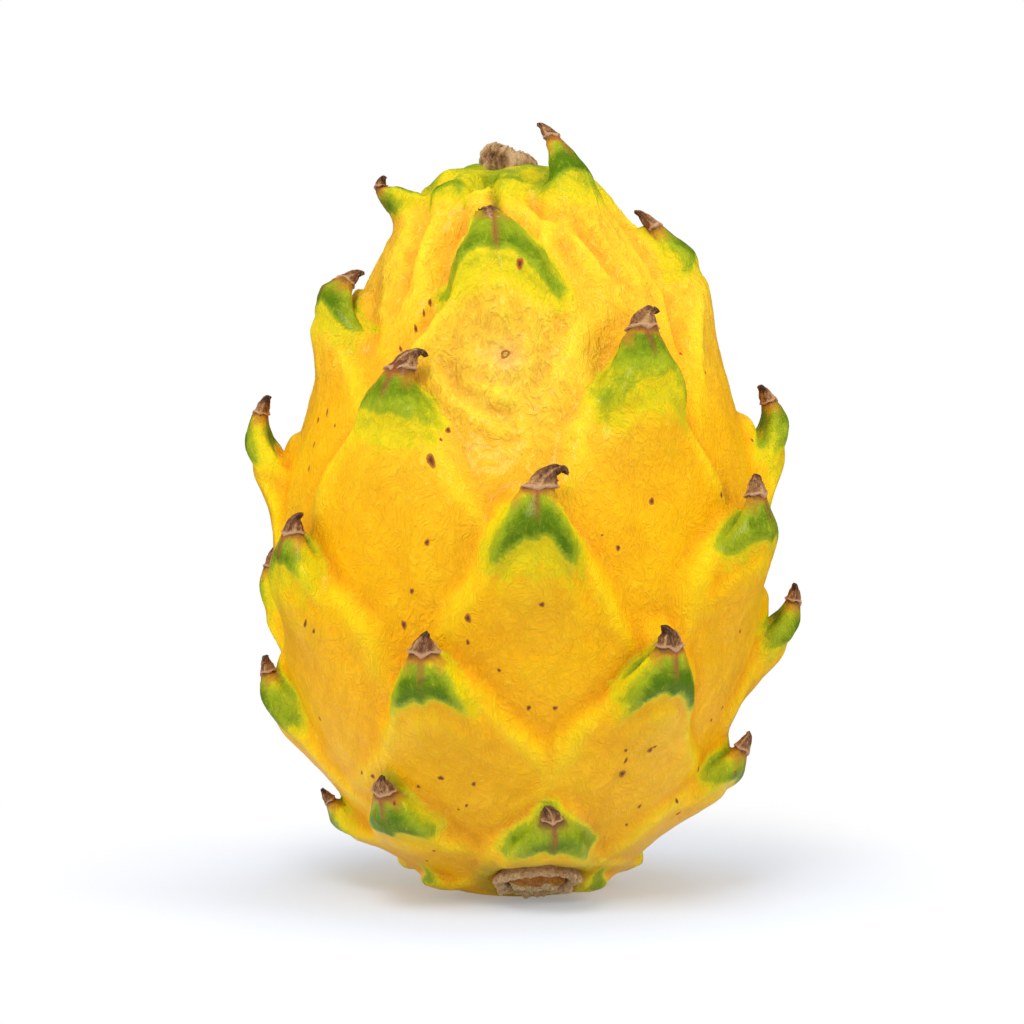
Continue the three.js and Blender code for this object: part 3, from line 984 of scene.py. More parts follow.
GREENINGS = {
    (-7, 108): Greening(8.9, 1.2, 1.6, 1.0, 0.5, 0.4),
    (32.6, 91.7): Greening(12.6, 1.0, 1.35, 1.0, 0.12),
    (-32.3, 85.3): Greening(10.8, 0.4, 1.35, 1.0, 0.25),
    (3, 67.6): Greening(12.6, 1.2, 1.0, 0.9, 0.85),
    (-20.4, 43.5): Greening(11.6, 0.9, 0.95, 0.2, 1.0),
    (32.7, 44.2): Greening(12.2, 1.2, 1.0, 0.25, 1.0),
    (-38, 21.2): Greening(11.5, 0.6, 1.05, 0.3, 0.8),
    (9.4, 17.5): Greening(9.2, 0.8, 1.6, 0.3, 0.6, 0.3),
}


@dataclass
class Rind:
    """The whole skin with its scales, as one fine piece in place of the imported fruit."""

    form: FruitForm
    wrinkling: Wrinkling = field(default_factory=Wrinkling)
    finish: "RindFinish" = field(default_factory=lambda: RindFinish())

    def scale_fields(self, raw: Array) -> tuple[dict[str, Array], Array]:
        """Colour masks and relief that follow each scale.

        Args:
            raw: Points of the skin before the lean.

        Returns:
            Masks by name, and millimetres to move out.
        """
        count = len(raw)
        green, brown = np.zeros(count), np.full(count, -1.0)
        rib, flush, moved = np.zeros(count), np.zeros(count), np.zeros(count)
        for horn in self.form.horns:
            near = np.linalg.norm(raw - horn.site.point, axis=1) < 27.0
            if not near.any():
                continue
            local = horn.site.local(raw[near])
            along, aside, above = horn.frame_at(*local)
            gap, _, _ = horn.distance(*local)
            size = horn.spec.half_width / 8.5
            left = (1.0 - along) * horn.length / size
            wide = np.abs(aside) / size
            touch = smoothstep(2.6 - gap, 0.0, 2.2)
            uneven = 0.8 * lattice_noise(raw[near] / 4.5, 21) + 0.25 * lattice_noise(raw[near] / 1.9, 22)
            look = Greening.of(horn.spec)
            tilt = 0.14 * math.sin(2.3 * horn.spec.azimuth) * aside / size
            point = 0.9 * bell(wide, 0.0, 0.9)
            legs = look.legs * (0.12 * np.minimum(wide, 7.5) ** 2 - 1.6)
            reach = look.reach + point + legs + tilt + uneven
            flank = look.width * np.minimum(1.3 + 0.37 * left, 6.2) + 0.6 * uneven
            lower = smoothstep(reach - left, -0.7, 1.2)
            sides = smoothstep(flank - wide, -2.4, 1.8)
            banded = 0.42 + 0.58 * smoothstep(left, 3.0, 9.0) - 0.45 * smoothstep(left, 12.0, 17.0)
            tipped = 0.92 - 0.5 * smoothstep(left, 6.0, 10.5)
            upper = look.low * banded + (1.0 - look.low) * tipped
            below = 0.34 * look.under * smoothstep(reach + 8.0 - left, 0.0, 8.0)
            level = np.maximum(sides * lower * upper, 0.36 * lower * smoothstep(flank + 3.5 - wide, 0.0, 4.0))
            level = np.maximum(level, (1.0 - lower) * below * smoothstep(flank + 1.5 - wide, 0.0, 3.0))
            green[near] = np.maximum(green[near], level * touch)
            if horn.spec.dry:
                full = horn.spec.fullness > 1.0
                limit, point_width, margins = (1.2, 0.9, 0.25) if full else (3.2, 1.8, 1.0)
                dead = (limit + 0.05 * wide**2 + 0.4 * uneven - left) / 3.0
                dead = np.minimum(dead, (point_width + 0.3 * left - wide) / 1.2)
                tight = smoothstep(0.9 - gap, 0.0, 0.7)
                brown[near] = np.maximum(brown[near], dead * tight - (1.0 - tight))
                outer = smoothstep(wide - 0.9 - 0.2 * left + 0.4 * uneven, -0.8, 1.0)
                outer = outer * smoothstep(4.4 - wide, 0.0, 1.2)
                margin = smoothstep(9.0 - left, 0.0, 5.5) * outer * margins
                rusty = smoothstep(limit + 1.9 + 0.5 * uneven - left, 0.0, 1.6)
                rusty = np.maximum(0.75 * margin, rusty * smoothstep(3.2 - wide, 0.0, 1.0))
                flush[near] = np.maximum(flush[near], look.flush * rusty * tight)
                line = bell(aside, 0.0, 0.5) * smoothstep(9.5 - left, 0.0, 4.0)
                line = line * smoothstep(above, 0.0, 0.6)
                rib[near] = np.maximum(rib[near], line * touch)
                moved[near] += 0.22 * line * touch * smoothstep(left, 2.2, 4.2)
            outside = smoothstep(above, -0.3, 0.8) * touch
            edge = left - reach
            swell = 0.5 * bell(edge, -2.2, 2.4)
            swell -= 0.55 * bell(edge, 1.6, 2.0)
            moved[near] += size * swell * outside * smoothstep(9.0 - wide, 0.0, 4.0)
        return {"green": green, "brown": brown, "rib": rib, "flush": flush}, moved

    def build(self) -> Object:
        """Makes the skin.

        Returns:
            The object.
        """
        values, low = self.form.field()
        raw, quads = surface_nets(values, low, self.form.voxel)
        surface = Surface(raw, quads)
        normals = surface.normals()
        fields, moved = self.scale_fields(raw)
        # The raised edges also carry a painted highlight in the rind's finish.
        fields["edge"] = self.form.edges(raw)
        moved = moved + self.wrinkling.offset(raw, self.form.outline) + 0.45 * fields["edge"]
        held = smoothstep(raw[:, 2], 0.15, 2.5)
        shaped = raw + normals * (moved * held)[:, None]
        shaped[:, 2] = np.maximum(shaped[:, 2], 0.0)
        surface = Surface(self.form.leaned(shaped), quads)
        normals = surface.normals()
        broad = surface.points - surface.averaged(surface.points, 60)
        fine = surface.points - surface.averaged(surface.points, 6)
        # crest and crease measure the relief; the rind's finish uses them to paint highlight on crests and
        # shade in creases.
        fields["crest"] = np.clip(0.5 * np.einsum("ij,ij->i", broad, normals), -1.0, 1.0)
        fields["crease"] = np.clip(3.0 * np.einsum("ij,ij->i", fine, normals), -1.0, 1.0)
        crown = smoothstep(raw[:, 2], 115.0, 122.0) * (0.42 + 0.34 * lattice_noise(turned(raw) / 3.5, 71))
        fields["green"] = np.maximum(fields["green"], np.clip(crown, 0.0, 1.0))
        fields["blush"] = self.halos(raw, True)
        # Olive halos round some marks, and painted shade in a ring round the cut stem.
        fields["bruise_and_shade"] = np.maximum(self.halos(raw, False), self.stem_shade_ring(raw))
        # A dark line of painted shade along the bottom of the deepest crease.
        fields["seam"] = self.seam(raw)
        # Shrivel also sets where the rind's finish paints sheen and glints on the neck.
        fields["shrivel"] = self.wrinkling.shrivel(raw, self.form.outline)
        made = surface.made("rind", fields)
        made.data.materials.append(self.finish.material())
        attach(made, BODY)
        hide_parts("fruit")
        LOG.info("rind: %d points, %d faces", len(surface.points), len(quads))
        return made

    def halos(self, raw: Array, rings: bool) -> Array:
        """Soft tinted halos round the larger marks, of one kind.

        Args:
            raw: Points of the skin, one row each.
            rings: Whether the ringed marks are the ones wanted.

        Returns:
            A strength for each point.
        """
        total = np.zeros(len(raw))
        for mark in MARKS:
            if mark.halo and mark.ring == rings:
                place = self.form.outline.site(mark.azimuth, mark.height).point
                away = np.linalg.norm(raw - place, axis=1)
                total = np.maximum(total, bell(away, 0.0, mark.halo))
        return total

    def stem_shade_ring(self, raw: Array) -> Array:
        """Painted olive shade on the skin in a ring round the cut stem.

        Args:
            raw: Points of the skin, one row each.

        Returns:
            A strength for each point.
        """
        u, v, n = self.form.stem_site().local(raw)
        reach = np.hypot(u, v - self.form.stem_drop) + 1.2 * lattice_noise(raw / 3.0, 72)
        return bell(reach, 8.6, 2.2) * smoothstep(7.0 - np.abs(n), 0.0, 3.0)

    def seam(self, raw: Array) -> Array:
        """Painted shade: a dark line along the bottom of the deepest crease at the top.

        Args:
            raw: Points of the skin, one row each.

        Returns:
            A strength for each point.
        """
        knots = [self.form.outline.site(*place).point for place in self.form.folds[0].line]
        line = smooth_line(np.array(knots), 12)
        total = np.zeros(len(raw))
        near = raw[:, 2] > 110.0
        ray = raw[near] - np.array([0.0, 0.0, self.form.outline.core])
        polar = np.arctan2(np.hypot(ray[:, 0], ray[:, 1]), ray[:, 2])
        bare = ray / np.linalg.norm(ray, axis=1)[:, None] * self.form.outline.reach_at(polar)[:, None]
        bare[:, 2] += self.form.outline.core
        away = np.min(np.linalg.norm(bare[:, None] - line[None], axis=2), axis=1)
        total[near] = bell(away, 0.0, 0.8)
        return total


@dataclass(frozen=True)
class Mark:
    """One corky mark in the skin: where it is, its size in millimetres, its shape and its halo."""

    azimuth: float
    height: float
    radius: float
    stretch: float = 1.0
    turn: float = 0.0
    halo: float = 0.0
    ring: bool = False


MARKS = tuple(
    Mark(*row)
    for row in (
        (-5.5, 91.6, 0.95, 1.1, 10, 2.6, True), (0.7, 103.4, 0.9, 1.5, 5, 2.6),
        (-20.3, 74.2, 0.8, 2.4, -28, 1.6), (-18.4, 79.4, 0.6, 1.4, -20), (-19.2, 77.6, 0.3, 1.6, -20),
        (-20.8, 62.1, 0.6, 1.2), (-24.7, 54.3, 0.5, 1.2), (-27.2, 48.8, 0.7, 1.3),
        (-11.3, 50.4, 0.75, 1.3), (-11.6, 46.5, 0.45, 1.3), (4.5, 52.8, 0.55, 1.3),
        (-4.8, 41.9, 0.4, 1.1), (2.1, 35.6, 0.5, 1.2), (8.5, 35.5, 0.5, 1.1), (23, 61.2, 0.55, 1.1),
        (19, 63.3, 0.25), (32.3, 68.5, 0.6, 1.6, 15), (-21.4, 24.1, 0.7, 1.1),
        (-29.2, 22.2, 0.4, 1.4, 60), (-12.6, 23.1, 0.5, 1.2), (-34.5, 21.1, 0.4, 2.2, 15),
        (-44.7, 23.2, 0.45, 1.8, 60), (-49.8, 23.3, 0.35, 2, 50), (-32.5, 100.5, 0.4, 2.2, -30),
        (-34.3, 98.8, 0.3, 2.5, -30), (-36.4, 96.3, 0.4, 2.2, -30), (-40.3, 92.9, 0.3, 3, -35),
        (-59.3, 81.8, 0.35, 2.5, -20), (-63.9, 80.5, 0.4, 2, -15), (-53.8, 79.7, 0.25, 2, -15),
        (-62, 76.6, 0.3, 3, -10), (-61.6, 72.8, 0.3, 2.5, -10), (-51.3, 48.7, 0.4, 2.8, 30),
        (-49.7, 47.5, 0.3, 2.4, 25), (28, 24.6, 0.75, 1.5, 10, 1.4), (27.8, 27, 0.3, 3.2, 5),
        (26.8, 28.9, 0.35, 1.5), (33.5, 28.8, 0.6, 1.4, 20, 1.8), (34.4, 29.4, 0.35, 1.6, 50),
        (39.4, 18, 0.45, 1.3), (37.8, 14.8, 0.4, 1.1), (-15.9, 19.1, 0.3, 1.8, 40),
        (-18.7, 18.3, 0.25, 1.2), (-37.4, 9.4, 0.4, 1.3), (-28.7, 12.7, 0.35, 1.2),
    )
)


@dataclass
class SkinMarks:
    """Small corky spots pressed into the skin: the front's own, and scattered ones on the other sides."""

    form: FruitForm
    skin: Object
    scattered: int = 70
    seed: int = 11
    rings: int = 5
    sides: int = 16

    def all_marks(self) -> list[Mark]:
        """The front's marks and the scattered ones.

        Returns:
            All of them in order.
        """
        dice = np.random.default_rng(self.seed)
        marks = list(MARKS)
        while len(marks) < len(MARKS) + self.scattered:
            azimuth, height = dice.uniform(52, 302), dice.uniform(12, 108)
            radius, stretch = 0.28 + 0.45 * dice.random() ** 2, 1.0 + 1.2 * dice.random() ** 2
            marks.append(Mark(azimuth, height, radius, stretch, dice.uniform(-40, 40)))
        return marks

    def patch(self, mark: Mark, tree: BVHTree, index: int) -> Dressed | None:
        """One mark laid onto the skin, or nothing where the skin is out of reach.

        Args:
            mark: The mark.
            tree: The skin to lay it on.
            index: The mark's number, for its seed.

        Returns:
            Its surface with its fields.
        """
        site = self.form.outline.site(mark.azimuth, mark.height)
        start = self.form.leaned((site.point + site.out * 14.0)[None])[0] * MM
        hit, normal, _, _ = tree.ray_cast(Vector(start), -Vector(site.out))
        if hit is None:
            return None
        turn = math.radians(mark.turn)
        up = Vector(site.up) * math.cos(turn) + Vector(site.across) * math.sin(turn)
        up = (up - normal * up.dot(normal)).normalized()
        side = up.cross(normal)
        dice = np.random.default_rng(900 + index)
        phases = dice.uniform(0, 2 * math.pi, 3)
        rows, depth = [], []
        for k in range(self.rings):
            share = (k + 0.35) / (self.rings - 0.65)
            lift = 0.10 * share**2 * (1.0 - share) * 4.0 - (0.12 if k == self.rings - 1 else 0.0)
            lift -= 0.08 if mark.ring and 0.3 < share < 0.6 else 0.0
            row = []
            for i in range(self.sides):
                angle = 2 * math.pi * i / self.sides
                ragged = 1.0 + 0.13 * math.sin(2 * angle + phases[0]) + 0.1 * math.sin(3 * angle + phases[1])
                ragged += 0.06 * math.sin(5 * angle + phases[2])
                reach = 0.86 * mark.radius * share * ragged * MM
                spot = hit + side * (math.cos(angle) * reach) + up * (math.sin(angle) * reach * mark.stretch)
                near, facing, _, _ = tree.find_nearest(spot)
                row.append(near + facing * ((0.03 + lift * min(mark.radius, 0.8)) * MM))
            rows.append(row)
            depth.append(np.full(self.sides, share))
        points = np.array([[tuple(p) for p in row] for row in rows]) / MM
        centre = points[0].mean(axis=0)
        sides, row = self.sides, np.arange(self.sides)
        after = np.roll(row, -1)
        corners = np.stack([row, row + sides, after + sides, after], 1)
        quads = [k * sides + corners for k in range(self.rings - 1)]
        even = np.arange(0, sides, 2)
        middle = np.full(len(even), self.rings * sides)
        quads.append(np.stack([middle, even, even + 1, (even + 2) % sides], 1))
        ringed = np.full(self.rings * sides + 1, float(mark.ring))
        fields = {"share": np.concatenate([*depth, [0.0]]), "ring": ringed}
        return Surface(np.vstack([points.reshape(-1, 3), [centre]]), np.vstack(quads)), fields

    def build(self) -> Object:
        """Makes every mark, all in one object.

        Returns:
            The object.
        """
        tree = BVHTree.FromObject(self.skin, bpy.context.evaluated_depsgraph_get())
        patches = [self.patch(mark, tree, i) for i, mark in enumerate(self.all_marks())]
        surface, fields = joined([patch for patch in patches if patch])
        made = surface.made("skin_marks", fields)
        made.data.materials.append(MarkFinish().material())
        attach(made, BODY)
        LOG.info("skin marks: %d", sum(patch is not None for patch in patches))
        return made


LATE_CAPS = {(39, 118.8): 0.92, (-7, 108): 0.91, (9.4, 17.5): 0.91}


@dataclass
class ScaleTips:
    """The dry brown ends of the scales: thin caps with a corky rim that curl over to a dark point."""

    form: FruitForm
    rings: int = 26
    sides: int = 28
    start: float = 0.87
    seed: int = 23

    def cap(self, horn: Horn, index: int) -> Dressed:
        """One cap on one scale.

        Args:
            horn: The scale.
            index: The scale's number, for its seed.

        Returns:
            Its surface with its fields.
        """
        dice = np.random.default_rng(self.seed + index)
        size = min(horn.spec.half_width / 8.5, 1.0)
        strength = min(abs(horn.spec.hook), 2.8) / 2.8
        curl_length = (0.7 + 2.1 * strength + 0.3 * dice.random()) * size
        side = math.copysign(1.0, horn.spec.hook or dice.normal())
        swing = 0.3 + 2.3 * strength
        inward = -(0.9 - 0.5 * strength) + 0.5 * dice.normal()
        centre, forward = self.path(horn, curl_length, side * swing, inward)
        angle = np.linspace(0, 2 * math.pi, self.sides, endpoint=False)
        share = np.linspace(0, 1, self.rings)
        along = self.stations(horn)
        width = horn.width(along)
        thick = horn.thickness(along)
        beyond = np.clip((share - 0.5) / 0.5, 0, 1)
        widest = (2.9 if (horn.spec.azimuth, horn.spec.height) not in LATE_CAPS else 2.0) * size
        width = np.clip(width * 1.03 + 0.08, 0.85 * size, widest) * (1 - 0.68 * beyond**1.3)
        thick = np.clip(thick * 1.12 + 0.1, 0.6 * size, 1.6 * size) * (1 - 0.6 * beyond**1.3)
        across = np.array([1.0, 0.0, 0.0])
        rings = np.empty((self.rings, self.sides, 3))
        tint, vein = np.empty((self.rings, self.sides)), np.empty((self.rings, self.sides))
        phase = dice.uniform(0, 6.28, 4)
        for k in range(self.rings):
            ahead = forward[k] * np.array([smoothstep(share[k], 0.2, 0.62), 1.0, 1.0])
            ahead = ahead / np.linalg.norm(ahead)
            aside = across - ahead * (across @ ahead)
            aside /= np.linalg.norm(aside)
            above = np.cross(aside, ahead)
            ca, sa = np.cos(angle), np.sin(angle)
            veins = 0.10 * np.cos(7 * angle + phase[0] + 2.5 * share[k])
            veins += 0.06 * np.cos(12 * angle + phase[1])
            veins += 0.07 * np.cos(3 * angle + phase[2] + 5 * share[k])
            rim = 0.1 * bell(share[k], 0.07, 0.045)
            rim -= 0.07 * bell(share[k], 0.2, 0.08)
            swell = 1.0 + veins * (0.5 + 1.2 * share[k]) + rim
            if k == 0:
                swell = swell * 0.74
            skirt = 1.1 * size * bell(ca, 0.0, 0.3) * (sa > 0)
            skirt += 0.18 * size * np.cos(5 * angle + phase[3])
            skirt = skirt * np.exp(-share[k] / 0.1)
            u = ca * width[k] * swell
            h = sa * thick[k] * swell - horn.cupping * (ca * width[k]) ** 2 * (1 - beyond[k])
            rings[k] = centre[k] + np.outer(u, aside) + np.outer(h, above) - np.outer(skirt, ahead)
            tint[k] = share[k]
            vein[k] = 0.5 + 2.4 * veins
        flat = rings.reshape(-1, 3)
        world = horn.site.world(flat[:, 0], flat[:, 1], flat[:, 2]).reshape(rings.shape)
        surface = tube(world)
        rough = 0.10 * size * (ridges(turned(surface.points) / 0.9, 31) ** 2 - 0.4)
        rough += 0.05 * lattice_noise(surface.points / 0.4, 32)
        shaped = surface.points + surface.normals() * rough[:, None]
        tints = np.concatenate([tint.ravel(), [0.0, 1.0]])
        veins = np.concatenate([vein.ravel(), [0.5, 0.5]])
        fields = {"share": np.clip(tints, 0, 1), "vein": np.clip(veins, 0, 1)}
        return Surface(self.form.leaned(shaped), surface.quads), fields

    def stations(self, horn: Horn) -> Array:
        """Shares of the scale's spine where the cap's rings sit."""
        start = LATE_CAPS.get((horn.spec.azimuth, horn.spec.height), self.start)
        return start + (1 - start) * np.minimum(np.linspace(0, 1, self.rings) / 0.55, 1.0)

    def path(self, horn: Horn, length: float, swing: float, inward: float) -> tuple[Array, Array]:
        """The cap's middle line and its directions, across, up and out from the scale's site.

        Args:
            horn: The scale under the cap.
            length: How far the dry end goes on past the flesh.
            swing: How far it turns to the side, in radians.
            inward: How far it turns towards the body, in radians.

        Returns:
            Points and directions, one row for each ring.
        """
        share = np.linspace(0, 1, self.rings)
        along = self.stations(horn)
        flat = horn.spine(along)
        centre = np.stack([horn.sideways(along), flat[:, 0], flat[:, 1]], axis=1)
        forward = np.gradient(centre, axis=0)
        last = int(np.searchsorted(share, 0.55))
        ahead = forward[last - 1] / np.linalg.norm(forward[last - 1])
        steps = self.rings - last
        for k in range(last, self.rings):
            part = (k - last + 1) / steps
            turn, dip = swing * part**0.8, inward * part
            heading = ahead * math.cos(turn) + np.array([math.sin(turn), 0, 0])
            heading = heading + np.array([0, 0, 1.0]) * math.sin(dip) * 0.8
            heading /= np.linalg.norm(heading)
            centre[k] = centre[k - 1] + heading * length / steps
            forward[k] = heading
        return centre, forward

    def build(self) -> Object:
        """Makes all the caps, all in one object.

        Returns:
            The object.
        """
        caps = [self.cap(horn, i) for i, horn in enumerate(self.form.horns) if horn.spec.dry]
        surface, fields = joined(caps)
        made = surface.made("scale_tips", fields)
        made.data.materials.append(DryFinish().material())
        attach(made, BODY)
        LOG.info("scale tips: %d", len(caps))
        return made


@dataclass
class LatheForm:
    """A ruffled turned form, drawn finely and crumpled."""

    outline: tuple[tuple[float, float], ...]
    lobes: int
    ruffle: float
    sides: int = 180
    steps: int = 12

    def rings(self) -> Array:
        """Points by ring and by turn, from the bottom's middle round to the top's middle.

        Returns:
            The points, as a grid.
        """
        line = smooth_line(np.array(self.outline, float), self.steps)[1:-1]
        angle = np.linspace(0, 2 * math.pi, self.sides, endpoint=False)
        wave = np.sin(self.lobes * angle) + 0.6 * np.sin((self.lobes + 3) * angle + 1)
        spread = np.minimum(line[:, :1] / 3.0, 1.0) * self.ruffle * wave
        radius = line[:, :1] + spread
        height = line[:, 1:] + 0.6 * spread
        return np.stack([radius * np.cos(angle), radius * np.sin(angle), height], axis=-1)


@dataclass
class WitheredFlower:
    """The dried flower's remains in the hollow at the top: a crumpled ring and a few curled shreds."""

    form: FruitForm
    seat: float = 122.3
    tilt: float = 21.0
    shift: float = -0.8
    lathe: LatheForm = field(
        default_factory=lambda: LatheForm(
            (
                (0, -1.5), (3.4, -1.3), (4.4, 0.4), (4.8, 1.9), (4.5, 3.4), (3.5, 4.6), (2.2, 4.9),
                (1.1, 4.2), (0, 4),
            ),
            5,
            0.4,
        )
    )
    shreds: int = 11
    seed: int = 5

    def crumpled(self) -> Dressed:
        """The ring itself, with deep sharp wrinkles.

        Returns:
            Its surface with its fields.
        """
        surface = tube(self.lathe.rings())
        points = surface.points
        warp = 1.4 * np.stack([lattice_noise(points / 2.6, seed) for seed in (41, 42, 43)], axis=1)
        bent = points + warp
        turn = np.arctan2(bent[:, 1], bent[:, 0])
        long = bent[:, 2] + 0.7 * np.hypot(bent[:, 0], bent[:, 1])
        rise = ridges(np.stack([3.3 * np.cos(turn), 3.3 * np.sin(turn), long / 4.5], axis=1), 44) ** 3 - 0.45
        pleats = ridges(np.stack([6.5 * np.cos(turn), 6.5 * np.sin(turn), long / 3.0], axis=1), 45)
        rise += 0.6 * (pleats**2 - 0.45)
        rise += 0.25 * (ridges(turned(bent) / 1.3, 47) ** 2 - 0.45) + 0.15 * lattice_noise(points / 0.45, 46)
        shaped = points + surface.normals() * (0.75 * rise)[:, None]
        # share follows the crumpled relief, so the finish paints crests lighter and folds darker, as painted
        # highlight and shade.
        return Surface(shaped, surface.quads), {"share": np.clip(0.5 + 0.6 * rise, 0, 1)}

    def shred(self, index: int) -> Dressed:
        """One dried petal end, curled and thin.

        Args:
            index: The shred's number, for its seed.

        Returns:
            Its surface with its fields.
        """
        dice = np.random.default_rng(self.seed * 100 + index)
        angle = 2 * math.pi * (index + 0.6 * dice.random()) / self.shreds
        outward = np.array([math.cos(angle), math.sin(angle), 0.0])
        side = np.array([-math.sin(angle), math.cos(angle), 0.0])
        long, wide = dice.uniform(2.4, 3.6), dice.uniform(0.9, 1.5)
        lean, curl = dice.uniform(-0.5, 0.4), dice.uniform(-2.2, -0.9)
        rows, sides = 16, 20
        around = np.linspace(0, 2 * math.pi, sides, endpoint=False)
        rings, place, heading = [], outward * dice.uniform(2.8, 3.9) + np.array([0, 0, 2.0]), lean
        for k in range(rows):
            share = k / (rows - 1)
            heading = lean + curl * share**1.5
            ahead = outward * math.sin(heading) + np.array([0, 0, math.cos(heading)])
            above = np.cross(side, ahead)
            place = place + ahead * long / rows
            half = wide * (0.75 + 0.4 * math.sin(2.6 * share + 0.3)) * (1 - 0.55 * share**3)
            fold = 0.35 * np.sin(3 * np.cos(around) * 2.2 + index + 3 * share)
            ring = place + np.outer(np.cos(around) * half, side)
            ring = ring + np.outer(np.sin(around) * 0.16 + fold * (0.4 + share), above)
            rings.append(ring)
        surface = tube(np.array(rings))
        rough = 0.12 * (ridges(turned(surface.points) / 0.8, 51) ** 2 - 0.4)
        shaped = surface.points + surface.normals() * rough[:, None]
        share = np.repeat(np.linspace(0.35, 1.0, rows), sides)
        return Surface(shaped, surface.quads), {"share": np.concatenate([share, [0.35, 1.0]])}

    def build(self) -> Object:
        """Makes the flower.

        Returns:
            The object.
        """
        surface, fields = joined([self.crumpled(), *(self.shred(i) for i in range(self.shreds))])
        points = surface.points.copy()
        points[:, 2] = np.clip(points[:, 2], -1.6, 5.35)
        turn = math.radians(self.tilt)
        x, z = points[:, 0].copy(), points[:, 2].copy()
        points[:, 0] = self.shift + x * math.cos(turn) + z * math.sin(turn)
        points[:, 2] = self.seat + z * math.cos(turn) - x * math.sin(turn)
        made = Surface(self.form.leaned(points), surface.quads).made("withered_flower_looks", fields)
        made.data.materials.append(FlowerFinish().material())
        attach(made, BODY)
        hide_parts("withered_flower")
        LOG.info("withered flower: %d points", len(points))
        return made


@dataclass
class CutStem:
    """The cut stalk's scar: a torn corky rim round a woody stub."""

    form: FruitForm
    lathe: LatheForm = field(
        default_factory=lambda: LatheForm(
            (
                (0, -2.4), (5, -2.2), (6.5, -1), (7.2, 0.4), (6.9, 1.15), (6.0, 1.0), (5.2, 0.1), (4.6, 0.0),
                (4.3, 0.8), (3.6, 1.3), (2.2, 1.55), (0, 1.3),
            ),
            7,
            0.25,
        )
    )

    def build(self) -> Object:
        """Makes the scar.

        Returns:
            The object.
        """
        surface = tube(self.lathe.rings())
        points = surface.points
        radius = np.hypot(points[:, 0], points[:, 1])
        angle = np.arctan2(points[:, 1], points[:, 0])
        torn = ridges(np.stack([5.6 * np.cos(angle), 5.6 * np.sin(angle), radius / 9.0], axis=1), 61)
        rim, stub = smoothstep(radius, 4.9, 6.0), smoothstep(4.9 - radius, 0.0, 0.5)
        rise = (0.6 * (torn**2 - 0.4) + 0.12 * lattice_noise(points / 1.1, 62)) * (0.2 + 0.8 * rim)
        rise += 0.2 * (ridges(turned(points) / 0.9, 63) ** 2 - 0.4)
        rise += stub * (0.35 * lattice_noise(points / 1.9, 64) + 0.22 * (ridges(points / 1.4, 65) ** 3 - 0.4))
        shaped = points + surface.normals() * (0.7 * rise)[:, None]
        shaped[:, 2] += 0.4 * rim * smoothstep(shaped[:, 1], 1.0, 6.0)
        shaped[:, 1] = self.form.stem_squash * shaped[:, 1] + self.form.stem_drop
        world = self.form.stem_site().world(*shaped.T)
        world[:, 2] = np.maximum(world[:, 2], 0.08)
        upper = points[:, 1] + 1.6 * lattice_noise(points / 1.7, 66)
        fields = {
            "share": np.clip(0.5 + 0.4 * rise + 0.45 * (rim - 0.5), 0, 1),
            "cream": stub * smoothstep(0.6 - upper, -0.6, 0.8),
            "amber": stub * smoothstep(upper - 0.4, -0.8, 0.6),
        }
        made = Surface(self.form.leaned(world), surface.quads).made("cut_stem_looks", fields)
        made.data.materials.append(CorkFinish().material())
        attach(made, BODY)
        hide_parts("cut_stem")
        LOG.info("cut stem: %d points", len(points))
        return made


def linear(red: int, green: int, blue: int) -> tuple[float, float, float, float]:
    """A colour on the 0 to 255 screen scale as the renderer's own.

    Args:
        red: Red.
        green: Green.
        blue: Blue.

    Returns:
        The four numbers for a colour socket.
    """
    parts = [channel / 255.0 for channel in (red, green, blue)]
    r, g, b = (p / 12.92 if p <= 0.04045 else ((p + 0.055) / 1.055) ** 2.4 for p in parts)
    return r, g, b, 1.0


class Pattern(Enum):
    """The shared patterns, each one node group."""

    MOTTLE = "mottle"
    FLECKS = "flecks"
    CRINKLES = "crinkles"
    RAGGED_EDGE = "ragged_edge"
    FIBRES = "fibres"


